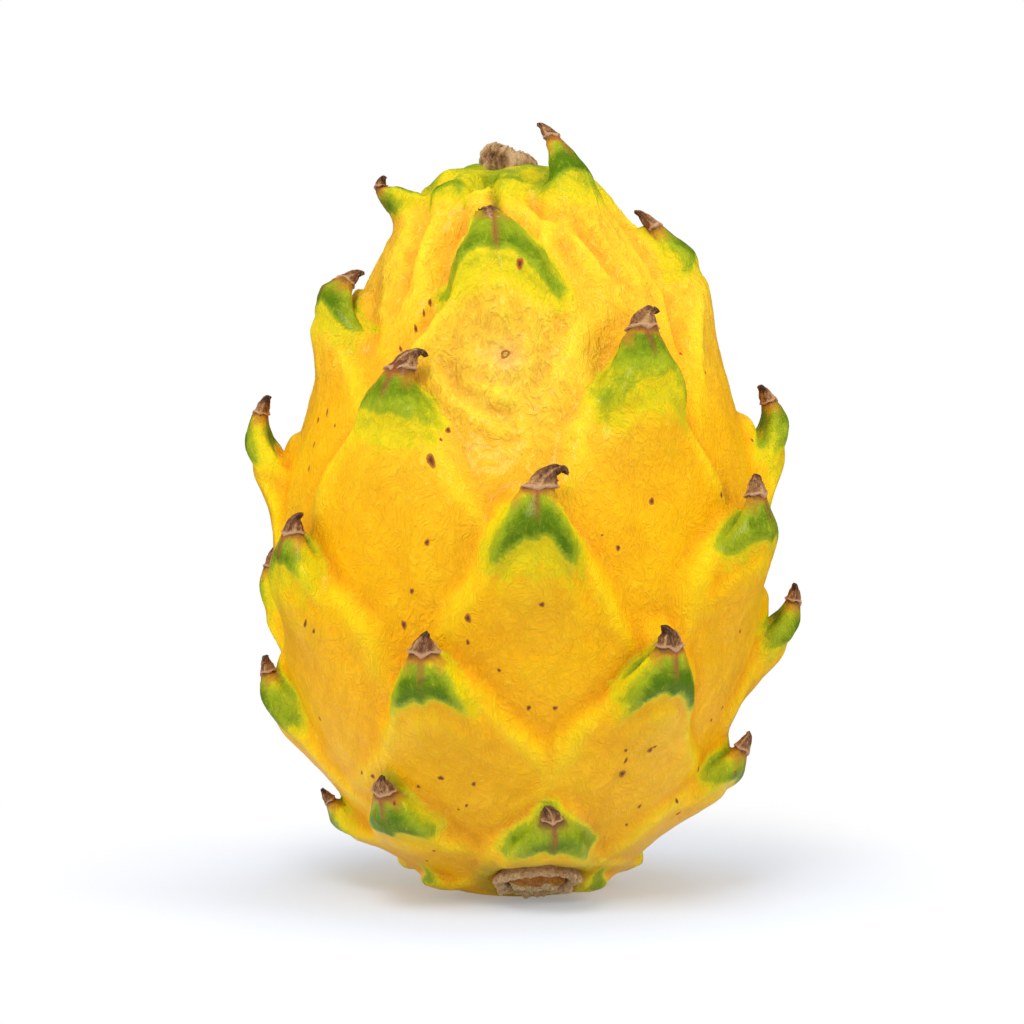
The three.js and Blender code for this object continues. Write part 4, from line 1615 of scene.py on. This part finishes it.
@dataclass
class Graph:
    """Shorthand for building one node tree."""

    tree: NodeTree

    def node(self, kind: str, **settings: object) -> Node:
        """A new node with its properties set.

        Args:
            kind: The node's type.
            settings: Its properties.

        Returns:
            The node.
        """
        made = self.tree.nodes.new(kind)
        for key, value in settings.items():
            setattr(made, key, value)
        return made

    def feed(self, socket: NodeSocket, value: object) -> None:
        """Links or sets one input."""
        if isinstance(value, NodeSocket):
            self.tree.links.new(value, socket)
        elif value is not None:
            socket.default_value = value

    def fill(self, node: Node, values: dict) -> None:
        """Links or sets inputs by their names or numbers."""
        for name, value in values.items():
            self.feed(node.inputs[name], value)

    def made(self, kind: str, values: dict, output: object = 0, **settings: object) -> object:
        """A new node with some inputs set.

        Args:
            kind: The node's type.
            values: Numbers or sockets by the input's name or number.
            output: The name or number of the output wanted.
            settings: Its properties.

        Returns:
            That output.
        """
        made = self.node(kind, **settings)
        self.fill(made, values)
        return made.outputs[output]

    def step(self, kind: str, *values: object, **settings: object) -> object:
        """A new node with its first inputs set, as its first output."""
        return self.made(kind, dict(enumerate(values)), **settings)

    def math(self, operation: str, *values: object) -> object:
        """One arithmetic step."""
        return self.step("ShaderNodeMath", *values, operation=operation)

    def vectors(self, operation: str, *values: object) -> object:
        """One arithmetic step on vectors."""
        return self.step("ShaderNodeVectorMath", *values, operation=operation)

    def times(self, a: object, b: object) -> object:
        """A product."""
        return self.math("MULTIPLY", a, b)

    def scaled(self, a: object, b: object, c: object) -> object:
        """A product of the first two with the third added."""
        return self.math("MULTIPLY_ADD", a, b, c)

    def blend(self, factor: object, a: object, b: object) -> object:
        """A mix of two colours, by the share of the second."""
        return self.made("ShaderNodeMix", {0: factor, 6: a, 7: b}, 2, data_type="RGBA")

    def spread(
        self, value: object, low: float, high: float, to_low: float = 0.0, to_high: float = 1.0
    ) -> object:
        """A value moved smoothly from one range to another, 0 to 1 if none is given."""
        ends = {"Value": value, "From Min": low, "From Max": high, "To Min": to_low, "To Max": to_high}
        return self.made("ShaderNodeMapRange", ends, interpolation_type="SMOOTHSTEP")

    def ramp(self, factor: object, stops: tuple[tuple[float, tuple], ...]) -> object:
        """A colour ramp through the given stops.

        Args:
            factor: The value to look up.
            stops: Places with their colours.

        Returns:
            The colour.
        """
        made = self.node("ShaderNodeValToRGB")
        elements = made.color_ramp.elements
        while len(elements) < len(stops):
            elements.new(0.5)
        for element, (place, colour) in zip(elements, stops):
            element.position = place
            element.color = colour
        self.feed(made.inputs[0], factor)
        return made.outputs[0]

    def noise(
        self, vector: object, scale: object, detail: float = 3.0, rough: float = 0.5, bend: float = 0.0
    ) -> object:
        """Fractal noise around one half: its fineness, finer layers, their strength and its warp."""
        values = {"Vector": vector, "Scale": scale, "Detail": detail, "Roughness": rough, "Distortion": bend}
        return self.made("ShaderNodeTexNoise", values, "Fac")

    def field(self, name: str) -> object:
        """A number stored on the mesh."""
        return self.made("ShaderNodeAttribute", {}, "Fac", attribute_type="GEOMETRY", attribute_name=name)

    def millimetres(self) -> object:
        """The object's own coordinates in millimetres."""
        place = self.node("ShaderNodeTexCoord").outputs["Object"]
        return self.vectors("MULTIPLY", place, (1000.0, 1000.0, 1000.0))

    def pattern(self, kind: Pattern, **inputs: object) -> object:
        """The outputs of a shared pattern's group node with its inputs set.

        Args:
            kind: Which pattern.
            inputs: Values or sockets by the input's name.

        Returns:
            The outputs by name.
        """
        made = self.node("ShaderNodeGroup")
        made.node_tree = PatternBook.tree(kind)
        for name, value in inputs.items():
            self.feed(made.inputs[name.replace("_", " ").title()], value)
        return made.outputs


class PatternBook:
    """Builds each shared pattern once."""

    @classmethod
    def tree(cls, kind: Pattern) -> NodeTree:
        """The node group for one pattern.

        Args:
            kind: Which pattern.

        Returns:
            Its node group, made on first use.
        """
        known = bpy.data.node_groups.get(kind.value)
        if known:
            return known
        builders = {
            Pattern.MOTTLE: cls.mottle,
            Pattern.FLECKS: cls.flecks,
            Pattern.CRINKLES: cls.crinkles,
            Pattern.RAGGED_EDGE: cls.ragged_edge,
            Pattern.FIBRES: cls.fibres,
        }
        made = bpy.data.node_groups.new(kind.value, "ShaderNodeTree")
        builders[kind](made)
        return made

    @staticmethod
    def ends(tree: NodeTree, takes: dict[str, object], gives: tuple[str, ...]) -> tuple[Graph, object, Node]:
        """Declares a group's inputs, with defaults, and its outputs.

        Args:
            tree: The group's tree.
            takes: Input names with a default number, or None for a vector.
            gives: Output names, all numbers.

        Returns:
            The tree's graph, its inputs by name and its output node.
        """
        for name, value in takes.items():
            kind = "NodeSocketVector" if value is None else "NodeSocketFloat"
            made = tree.interface.new_socket(name=name, in_out="INPUT", socket_type=kind)
            if value is not None:
                made.default_value = value
        for name in gives:
            tree.interface.new_socket(name=name, in_out="OUTPUT", socket_type="NodeSocketFloat")
        graph = Graph(tree)
        return graph, graph.node("NodeGroupInput").outputs, graph.node("NodeGroupOutput")

    @staticmethod
    def drawn_out(graph: Graph, given: object, vector: object) -> object:
        """Coordinates divided by the group's size, and along the height by its length too.

        Args:
            graph: The group's graph.
            given: The group's inputs by name.
            vector: The coordinates.

        Returns:
            The new coordinates.
        """
        across = graph.math("DIVIDE", 1.0, given["Size"])
        along = graph.math("DIVIDE", across, given["Length"])
        return graph.vectors("MULTIPLY", vector, graph.step("ShaderNodeCombineXYZ", across, across, along))

    @classmethod
    def mottle(cls, tree: NodeTree) -> None:
        """Broad and small unevenness of tone.

        Args:
            tree: The empty node tree.
        """
        graph, given, result = cls.ends(tree, {"Vector": None, "Size": 12.0}, ("Broad", "Small"))
        scale = graph.math("DIVIDE", 1.0, given["Size"])
        broad = graph.noise(given["Vector"], scale, 3.0, 0.55, 0.6)
        small = graph.noise(given["Vector"], graph.times(scale, 6.0), 4.0, 0.6, 0.3)
        graph.fill(result, {"Broad": graph.spread(broad, 0.3, 0.7), "Small": graph.spread(small, 0.3, 0.7)})

    @classmethod
    def flecks(cls, tree: NodeTree) -> None:
        """Short wandering flecks, longer than wide.

        Args:
            tree: The empty node tree.
        """
        graph, given, result = cls.ends(
            tree, {"Vector": None, "Size": 1.2, "Length": 3.0, "Wander": 1.0}, ("Mask", "Height")
        )
        bend = graph.node("ShaderNodeTexNoise")
        graph.fill(bend, {"Vector": given["Vector"], "Scale": 0.16, "Detail": 2.0})
        centred = graph.vectors("SUBTRACT", bend.outputs["Color"], (0.5, 0.5, 0.5))
        far = graph.times(given["Wander"], 9.0)
        reach = graph.step("ShaderNodeCombineXYZ", far, far, far)
        moved = graph.vectors("MULTIPLY_ADD", centred, reach, given["Vector"])
        grain = graph.noise(cls.drawn_out(graph, given, moved), 1.0, 2.5, 0.55, 0.8)
        graph.fill(result, {"Mask": graph.spread(grain, 0.56, 0.72), "Height": grain})

    @classmethod
    def crinkles(cls, tree: NodeTree) -> None:
        """Thin wandering wrinkles like those of drying skin.

        Args:
            tree: The empty node tree.
        """
        takes = {"Vector": None, "Size": 3.0, "Length": 1.6}
        graph, given, result = cls.ends(tree, takes, ("Crest", "Height"))
        place = cls.drawn_out(graph, given, given["Vector"])
        levels = []
        for scale, bend in ((1.0, 2.2), (2.1, 1.6)):
            grain = graph.noise(place, scale, 1.5, 0.5, bend)
            folded = graph.math("ABSOLUTE", graph.scaled(grain, 2.0, -1.0))
            levels.append(graph.spread(folded, 0.0, 0.42, 1.0, 0.0))
        height = graph.scaled(levels[1], 0.45, levels[0])
        graph.fill(result, {"Height": height, "Crest": graph.spread(height, 0.5, 1.3)})

    @classmethod
    def ragged_edge(cls, tree: NodeTree) -> None:
        """A smooth field cut into a mask with a frayed edge.

        Args:
            tree: The empty node tree.
        """
        graph, given, result = cls.ends(
            tree, {"Vector": None, "Field": 0.0, "Fray": 0.3, "Softness": 0.25}, ("Mask",)
        )
        coarse = graph.noise(given["Vector"], 0.55, 4.0, 0.6, 0.4)
        shift = graph.times(graph.math("SUBTRACT", coarse, 0.5), given["Fray"])
        level = graph.math("ADD", given["Field"], graph.times(shift, 2.0))
        cut = graph.math("DIVIDE", level, given["Softness"])
        graph.feed(result.inputs["Mask"], graph.spread(cut, -0.5, 1.0))

    @classmethod
    def fibres(cls, tree: NodeTree) -> None:
        """Torn woody fibres and the dark gaps between them.

        Args:
            tree: The empty node tree.
        """
        graph, given, result = cls.ends(tree, {"Vector": None, "Size": 0.5, "Length": 4.0}, ("Strand", "Gap"))
        strand = graph.noise(cls.drawn_out(graph, given, given["Vector"]), 1.0, 4.0, 0.6, 1.2)
        across = graph.math("DIVIDE", 1.0, given["Size"])
        gap = graph.noise(given["Vector"], graph.times(across, 0.7), 3.0, 0.6, 0.5)
        gap = graph.spread(gap, 0.38, 0.5, 1.0, 0.0)
        graph.fill(result, {"Strand": graph.spread(strand, 0.3, 0.7), "Gap": gap})


def new_material(name: str) -> tuple[Material, Graph, Node]:
    """An empty material with its graph and its shader.

    Args:
        name: The material's name.

    Returns:
        The three of them.
    """
    made = bpy.data.materials.new(name)
    made.use_nodes = True
    made.node_tree.nodes.clear()
    graph = Graph(made.node_tree)
    shader = graph.node("ShaderNodeBsdfPrincipled")
    output = graph.node("ShaderNodeOutputMaterial")
    graph.feed(output.inputs["Surface"], shader.outputs[0])
    return made, graph, shader


def add_bump(graph: Graph, shader: Node, height: object, distance: float, strength: float) -> None:
    """Adds fine relief to a shader's normal.

    Args:
        graph: The material's graph.
        shader: The shader.
        height: The relief.
        distance: Its depth in metres.
        strength: Its strength.
    """
    bump = graph.node("ShaderNodeBump")
    graph.fill(bump, {"Strength": strength, "Distance": distance, "Height": height})
    graph.feed(shader.inputs["Normal"], bump.outputs[0])


@dataclass(frozen=True)
class RindFinish:
    """Waxy yellow skin, paler on its ridges as painted highlight and deeper in its hollows as painted shade,
    green and brown on the scales.
    """

    # deep is the painted shade of hollows and creases; pale is the painted highlight of ridges.
    deep: tuple = linear(240, 160, 0)
    yellow: tuple = linear(252, 183, 0)
    pale: tuple = linear(255, 212, 6)
    # Straw and cream paint the highlight along raised edges, the glints in the flecks and the sheen on the
    # neck.
    straw: tuple = linear(255, 216, 44)
    cream: tuple = linear(255, 226, 96)
    lime: tuple = linear(222, 206, 14)
    green: tuple = linear(158, 172, 26)
    dark_green: tuple = linear(88, 120, 8)
    plum: tuple = linear(110, 62, 48)
    brick: tuple = linear(158, 78, 52)
    rust: tuple = linear(196, 118, 40)
    blush: tuple = linear(238, 178, 118)
    # Olive for the halos round marks and for the painted shade round the cut stem.
    bruise_and_shade: tuple = linear(140, 128, 34)
    # Dark olive for the painted shade along the deepest crease.
    seam: tuple = linear(78, 74, 20)
    roughness: float = 0.34
    coat: float = 0.2

    def material(self) -> Material:
        """Builds the material.

        Returns:
            The material.
        """
        made, graph, shader = new_material("waxy_rind")
        place = graph.millimetres()
        mottle = graph.pattern(Pattern.MOTTLE, vector=place, size=14.0)
        flecks = graph.pattern(Pattern.FLECKS, vector=place, size=0.6, length=3.2, wander=1.0)
        hairs = graph.pattern(Pattern.FLECKS, vector=place, size=0.42, length=7.0, wander=0.5)
        crinkles = graph.pattern(Pattern.CRINKLES, vector=place, size=4.2, length=1.8)
        strands, spots = hairs["Mask"], mottle["Small"]
        shrivel = graph.field("shrivel")
        # Painted highlight and shade: the tone rises on broad crests, fine crests and the neck's wrinkle
        # crests, and falls in hollows and fine creases, over random mottle and streaks.
        drawn = graph.times(crinkles["Crest"], shrivel)
        crest, crease = graph.field("crest"), graph.field("crease")
        tone = graph.scaled(crest, 0.8, 0.42)
        # Painted highlight: the raised edges of the swellings lighter, streaked by the hairs.
        streaks = graph.scaled(strands, 0.35, 0.2)
        for part, weight in (
            (mottle["Broad"], 0.16), (spots, 0.1), (crease, 0.22),
            (graph.field("edge"), streaks), (strands, 0.12), (drawn, 0.3),
        ):
            tone = graph.scaled(part, weight, tone)
        tone = graph.math("SUBTRACT", tone, graph.scaled(shrivel, 0.14, 0.12))
        skin = graph.ramp(tone, ((0.05, self.deep), (0.45, self.yellow), (1.0, self.pale)))
        # Pale flecks, partly the skin's own texture and partly painted glints, thicker on the shrivelled
        # neck.
        fleck_and_glint_share = graph.scaled(shrivel, 0.4, 0.32)
        fleck = graph.blend(graph.spread(shrivel, 0.0, 0.5), self.straw, self.cream)
        skin = graph.blend(graph.times(flecks["Mask"], fleck_and_glint_share), skin, fleck)
        # Painted highlight: streaked straw along the raised edges of the swellings.
        lines = graph.scaled(strands, 0.45, 0.06)
        skin = graph.blend(graph.times(graph.field("edge"), lines), skin, self.straw)
        # The shrivelled neck paler and creamier: partly its own tone, partly painted sheen.
        skin = graph.blend(graph.times(shrivel, 0.36), skin, self.cream)
        # Tints round the marks, painted olive shade round the cut stem, and a dark line of painted shade
        # along the deepest crease.
        for name, share, tint in (
            ("blush", 0.7, self.blush), ("bruise_and_shade", 0.6, self.bruise_and_shade), ("seam", 0.85, self.seam)
        ):
            skin = graph.blend(graph.times(graph.field(name), share), skin, tint)
        green = graph.field("green")
        stir = graph.scaled(spots, 0.16, graph.math("ADD", green, -0.06))
        stir = graph.scaled(strands, -0.16, stir)
        shown = graph.spread(green, 0.0, 0.12)
        skin = graph.blend(graph.times(graph.spread(stir, 0.0, 0.28, 0.0, 0.85), shown), skin, self.lime)
        skin = graph.blend(graph.times(graph.spread(stir, 0.26, 0.6), shown), skin, self.green)
        skin = graph.blend(graph.times(graph.spread(stir, 0.58, 1.02), shown), skin, self.dark_green)
        flush = graph.field("flush")
        skin = graph.blend(graph.spread(flush, 0.05, 0.7, 0.0, 0.75), skin, self.rust)
        skin = graph.blend(graph.spread(flush, 0.45, 1.0, 0.0, 0.7), skin, self.plum)
        skin = graph.blend(graph.times(graph.field("rib"), 0.85), skin, self.brick)
        brown = graph.field("brown")
        dead = graph.pattern(Pattern.RAGGED_EDGE, vector=place, field=brown, fray=0.22, softness=0.45)
        skin = graph.blend(graph.times(dead["Mask"], 0.9), skin, self.plum)
        graph.feed(shader.inputs["Base Color"], skin)
        wax = graph.scaled(spots, 0.1, self.roughness - 0.05)
        graph.fill(shader, {
            "Roughness": graph.scaled(dead["Mask"], 0.3, wax),
            "Specular IOR Level": 0.14,
            "Coat Weight": self.coat,
            "Coat Roughness": 0.14,
            "Subsurface Weight": 0.12,
            "Subsurface Radius": (0.004, 0.002, 0.0005),
            "Subsurface Scale": 0.4,
        })
        height = graph.scaled(hairs["Height"], 0.35, flecks["Height"])
        height = graph.scaled(spots, 0.25, height)
        wrinkled = graph.times(crinkles["Height"], shrivel)
        height = graph.scaled(wrinkled, 0.7, height)
        add_bump(graph, shader, height, 0.0008, 0.65)
        return made


@dataclass(frozen=True)
class DryFinish:
    """Shrivelled brown tissue of the scale tips: a pinkish tan rim, tan veins, and a dark end."""

    rim: tuple = linear(208, 160, 120)
    tan: tuple = linear(204, 158, 104)
    brown: tuple = linear(146, 98, 62)
    dark: tuple = linear(74, 48, 36)
    roughness: float = 0.6

    def material(self) -> Material:
        """Builds the material.

        Returns:
            The material.
        """
        made, graph, shader = new_material("dry_tissue")
        place = graph.millimetres()
        fibres = graph.pattern(Pattern.FIBRES, vector=place, size=0.35, length=3.5)
        mottle = graph.pattern(Pattern.MOTTLE, vector=place, size=3.0)
        share, vein = graph.field("share"), graph.field("vein")
        tone = graph.spread(share, 0.1, 1.0, 0.46, 0.1)
        tone = graph.scaled(graph.spread(vein, 0.5, 0.9), 0.34, tone)
        tone = graph.scaled(graph.math("SUBTRACT", fibres["Strand"], 0.5), 0.4, tone)
        tone = graph.scaled(graph.math("SUBTRACT", mottle["Broad"], 0.5), 0.3, tone)
        colour = graph.ramp(tone, ((0.08, self.dark), (0.4, self.brown), (0.8, self.tan)))
        colour = graph.blend(graph.times(fibres["Gap"], 0.4), colour, self.dark)
        colour = graph.blend(graph.spread(share, 0.08, 0.15, 0.95, 0.0), colour, self.rim)
        graph.fill(shader, {"Base Color": colour, "Roughness": self.roughness, "Specular IOR Level": 0.3})
        add_bump(graph, shader, fibres["Strand"], 0.0004, 0.6)
        return made


@dataclass(frozen=True)
class FlowerFinish:
    """Crumpled papery tissue: tan on its crests as painted highlight, brown in its folds as painted shade."""

    tan: tuple = linear(204, 168, 122)
    brown: tuple = linear(156, 116, 76)
    dark: tuple = linear(78, 52, 32)
    roughness: float = 0.78

    def material(self) -> Material:
        """Builds the material.

        Returns:
            The material.
        """
        made, graph, shader = new_material("papery_tissue")
        place = graph.millimetres()
        fibres = graph.pattern(Pattern.FIBRES, vector=place, size=0.3, length=3.0)
        mottle = graph.pattern(Pattern.MOTTLE, vector=place, size=3.5)
        tone = graph.scaled(fibres["Strand"], 0.3, graph.field("share"))
        tone = graph.scaled(mottle["Broad"], 0.25, graph.math("SUBTRACT", tone, 0.22))
        colour = graph.ramp(tone, ((0.12, self.dark), (0.45, self.brown), (0.85, self.tan)))
        graph.fill(shader, {"Base Color": colour, "Roughness": self.roughness, "Specular IOR Level": 0.2})
        add_bump(graph, shader, fibres["Strand"], 0.0004, 0.6)
        return made


@dataclass(frozen=True)
class CorkFinish:
    """Torn corky tissue round a woody cut, cream below and amber above."""

    rim: tuple = linear(236, 194, 142)
    wood: tuple = linear(176, 122, 70)
    gap: tuple = linear(78, 42, 18)
    cream: tuple = linear(252, 220, 156)
    amber: tuple = linear(214, 134, 36)
    roughness: float = 0.85

    def material(self) -> Material:
        """Builds the material.

        Returns:
            The material.
        """
        made, graph, shader = new_material("cork")
        place = graph.millimetres()
        fibres = graph.pattern(Pattern.FIBRES, vector=place, size=0.4, length=2.0)
        mottle = graph.pattern(Pattern.MOTTLE, vector=place, size=4.0)
        tone = graph.scaled(fibres["Strand"], 0.35, graph.field("share"))
        tone = graph.scaled(mottle["Small"], 0.2, graph.math("SUBTRACT", tone, 0.25))
        colour = graph.ramp(tone, ((0.12, self.gap), (0.45, self.wood), (0.85, self.rim)))
        uneven = graph.scaled(fibres["Strand"], 0.5, 0.55)
        colour = graph.blend(graph.times(graph.field("cream"), uneven), colour, self.cream)
        colour = graph.blend(graph.times(graph.field("amber"), uneven), colour, self.amber)
        colour = graph.blend(graph.times(fibres["Gap"], 0.3), colour, self.gap)
        graph.fill(shader, {"Base Color": colour, "Roughness": self.roughness})
        add_bump(graph, shader, fibres["Strand"], 0.0005, 0.7)
        return made


@dataclass(frozen=True)
class MarkFinish:
    """A corky spot: dark in the middle, redder and paler at its edge."""

    core: tuple = linear(112, 54, 20)
    edge: tuple = linear(206, 128, 28)
    eye: tuple = linear(196, 176, 70)
    roughness: float = 0.6

    def material(self) -> Material:
        """Builds the material.

        Returns:
            The material.
        """
        made, graph, shader = new_material("corky_spot")
        place = graph.millimetres()
        mottle = graph.pattern(Pattern.MOTTLE, vector=place, size=1.6)
        share = graph.scaled(mottle["Small"], 0.2, graph.math("SUBTRACT", graph.field("share"), 0.1))
        colour = graph.ramp(share, ((0.25, self.core), (0.82, self.edge)))
        eye = graph.times(graph.field("ring"), graph.spread(share, 0.25, 0.5, 1.0, 0.0))
        colour = graph.blend(eye, colour, self.eye)
        graph.fill(shader, {"Base Color": colour, "Roughness": self.roughness})
        add_bump(graph, shader, mottle["Small"], 0.0003, 0.5)
        return made


@dataclass
class Studio:
    """A pale floor, soft daylight and the camera."""

    lens: float = 120.0
    distance: float = 0.586
    elevation: float = 3.0
    target: tuple[float, float, float] = (-0.0021, 0.0, 0.065)
    lit: float = 0.6
    mirrored: float = 0.03
    # shaded_floor is a bluish tint painted near the fruit that cancels the yellow light it bounces onto the
    # floor.
    shaded_floor: tuple = (0.7, 0.78, 0.92, 1.0)
    open_floor: tuple = (0.88, 0.88, 0.88, 1.0)

    def floor(self) -> None:
        """A wide pale floor that glows, a little near the fruit as painted light that lifts its cast shadow
        and wholly further out, tinted blue near the fruit against the yellow light the fruit bounces onto it.
        """
        half = 6.0
        corners = np.array([(-half, -half, 0), (half, -half, 0), (half, half, 0), (-half, half, 0)]) / MM
        made = Surface(corners, np.array([[0, 1, 2, 3]])).made("floor")
        material, graph, shader = new_material("pale_floor")
        graph.fill(shader, {"Roughness": 0.9, "Specular IOR Level": 0.1})
        far = graph.node("ShaderNodeVectorMath", operation="LENGTH")
        graph.feed(far.inputs[0], graph.node("ShaderNodeTexCoord").outputs["Object"])
        grey = graph.spread(far.outputs["Value"], 0.04, 0.12)
        tint = graph.blend(grey, self.shaded_floor, self.open_floor)
        graph.feed(shader.inputs["Base Color"], tint)
        # The floor glows: near the fruit a share of painted light lifts the cast shadow, further out the glow
        # takes over.
        glow = graph.node("ShaderNodeEmission")
        path = graph.node("ShaderNodeLightPath")
        level = graph.scaled(path.outputs["Is Glossy Ray"], -0.71, 0.75)
        graph.feed(glow.inputs["Strength"], graph.scaled(path.outputs["Is Camera Ray"], 0.25, level))
        share = graph.spread(far.outputs["Value"], 0.04, 0.15, 0.24, 1.0)
        mixed = graph.step("ShaderNodeMixShader", share, shader.outputs[0], glow.outputs[0])
        output = next(node for node in material.node_tree.nodes if node.type == "OUTPUT_MATERIAL")
        graph.feed(output.inputs["Surface"], mixed)
        made.data.materials.append(material)

    def light(self, name: str, place: tuple, size: float, power: float, mirrored: bool = False) -> None:
        """One square soft light aimed at the fruit, seen in its gloss or not.

        Args:
            name: Its name.
            place: Where it stands.
            size: Length of a side.
            power: Its power.
            mirrored: Whether it shows in the gloss.
        """
        data = bpy.data.lights.new(name, "AREA")
        data.shape = "SQUARE"
        data.size = size
        data.energy = power
        made = bpy.data.objects.new(name, data)
        bpy.context.scene.collection.objects.link(made)
        made.location = place
        made.visible_glossy = mirrored
        aim = Vector(self.target) - Vector(place)
        made.rotation_mode = "QUATERNION"
        made.rotation_quaternion = aim.to_track_quat("-Z", "Y")

    def sky(self) -> None:
        """An even white surround, brighter where it is only seen."""
        world = bpy.data.worlds.new("surround")
        bpy.context.scene.world = world
        world.use_nodes = True
        world.node_tree.nodes.clear()
        graph = Graph(world.node_tree)
        path = graph.node("ShaderNodeLightPath")
        glow = graph.node("ShaderNodeBackground")
        glow.inputs["Color"].default_value = (1, 1, 1, 1)
        mirrored = graph.scaled(path.outputs["Is Glossy Ray"], self.mirrored - self.lit, self.lit)
        level = graph.scaled(path.outputs["Is Camera Ray"], 1.0 - self.lit, mirrored)
        graph.feed(glow.inputs["Strength"], level)
        graph.feed(graph.node("ShaderNodeOutputWorld").inputs[0], glow.outputs[0])

    def camera(self) -> None:
        """A long lens a little above the fruit's middle."""
        data = bpy.data.cameras.new("camera")
        data.lens, data.sensor_width = self.lens, 36.0
        data.clip_start, data.clip_end = 0.01, 20.0
        made = bpy.data.objects.new("camera", data)
        bpy.context.scene.collection.objects.link(made)
        rise = math.radians(self.elevation)
        back = Vector((0.0, -math.cos(rise), math.sin(rise)))
        made.location = Vector(self.target) + back * self.distance
        made.rotation_mode = "QUATERNION"
        made.rotation_quaternion = (-back).to_track_quat("-Z", "Y")
        bpy.context.scene.camera = made

    def build(self) -> None:
        """Sets up floor, lights, surround and camera."""
        self.floor()
        self.sky()
        self.light("key", (-0.16, -0.5, 0.8), 0.4, 3.25)
        self.light("top", (0.12, 0.1, 0.9), 0.5, 1.7)
        self.light("left", (-0.75, -0.1, 0.2), 0.4, 1.8)
        self.light("right", (0.7, -0.25, 0.38), 0.4, 2.2)
        self.light("gleam", (-0.1, -0.6, 0.6), 0.22, 1.0, True)
        self.camera()
        bpy.context.scene.view_settings.view_transform = "Standard"
        LOG.info("studio ready")


def main() -> None:
    """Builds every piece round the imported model."""
    logging.basicConfig(level=logging.INFO, format="%(name)s %(message)s")
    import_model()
    form = FruitForm()
    skin = Rind(form).build()
    SkinMarks(form, skin).build()
    ScaleTips(form).build()
    WitheredFlower(form).build()
    CutStem(form).build()
    Studio().build()


if __name__ == "__main__":
    main()
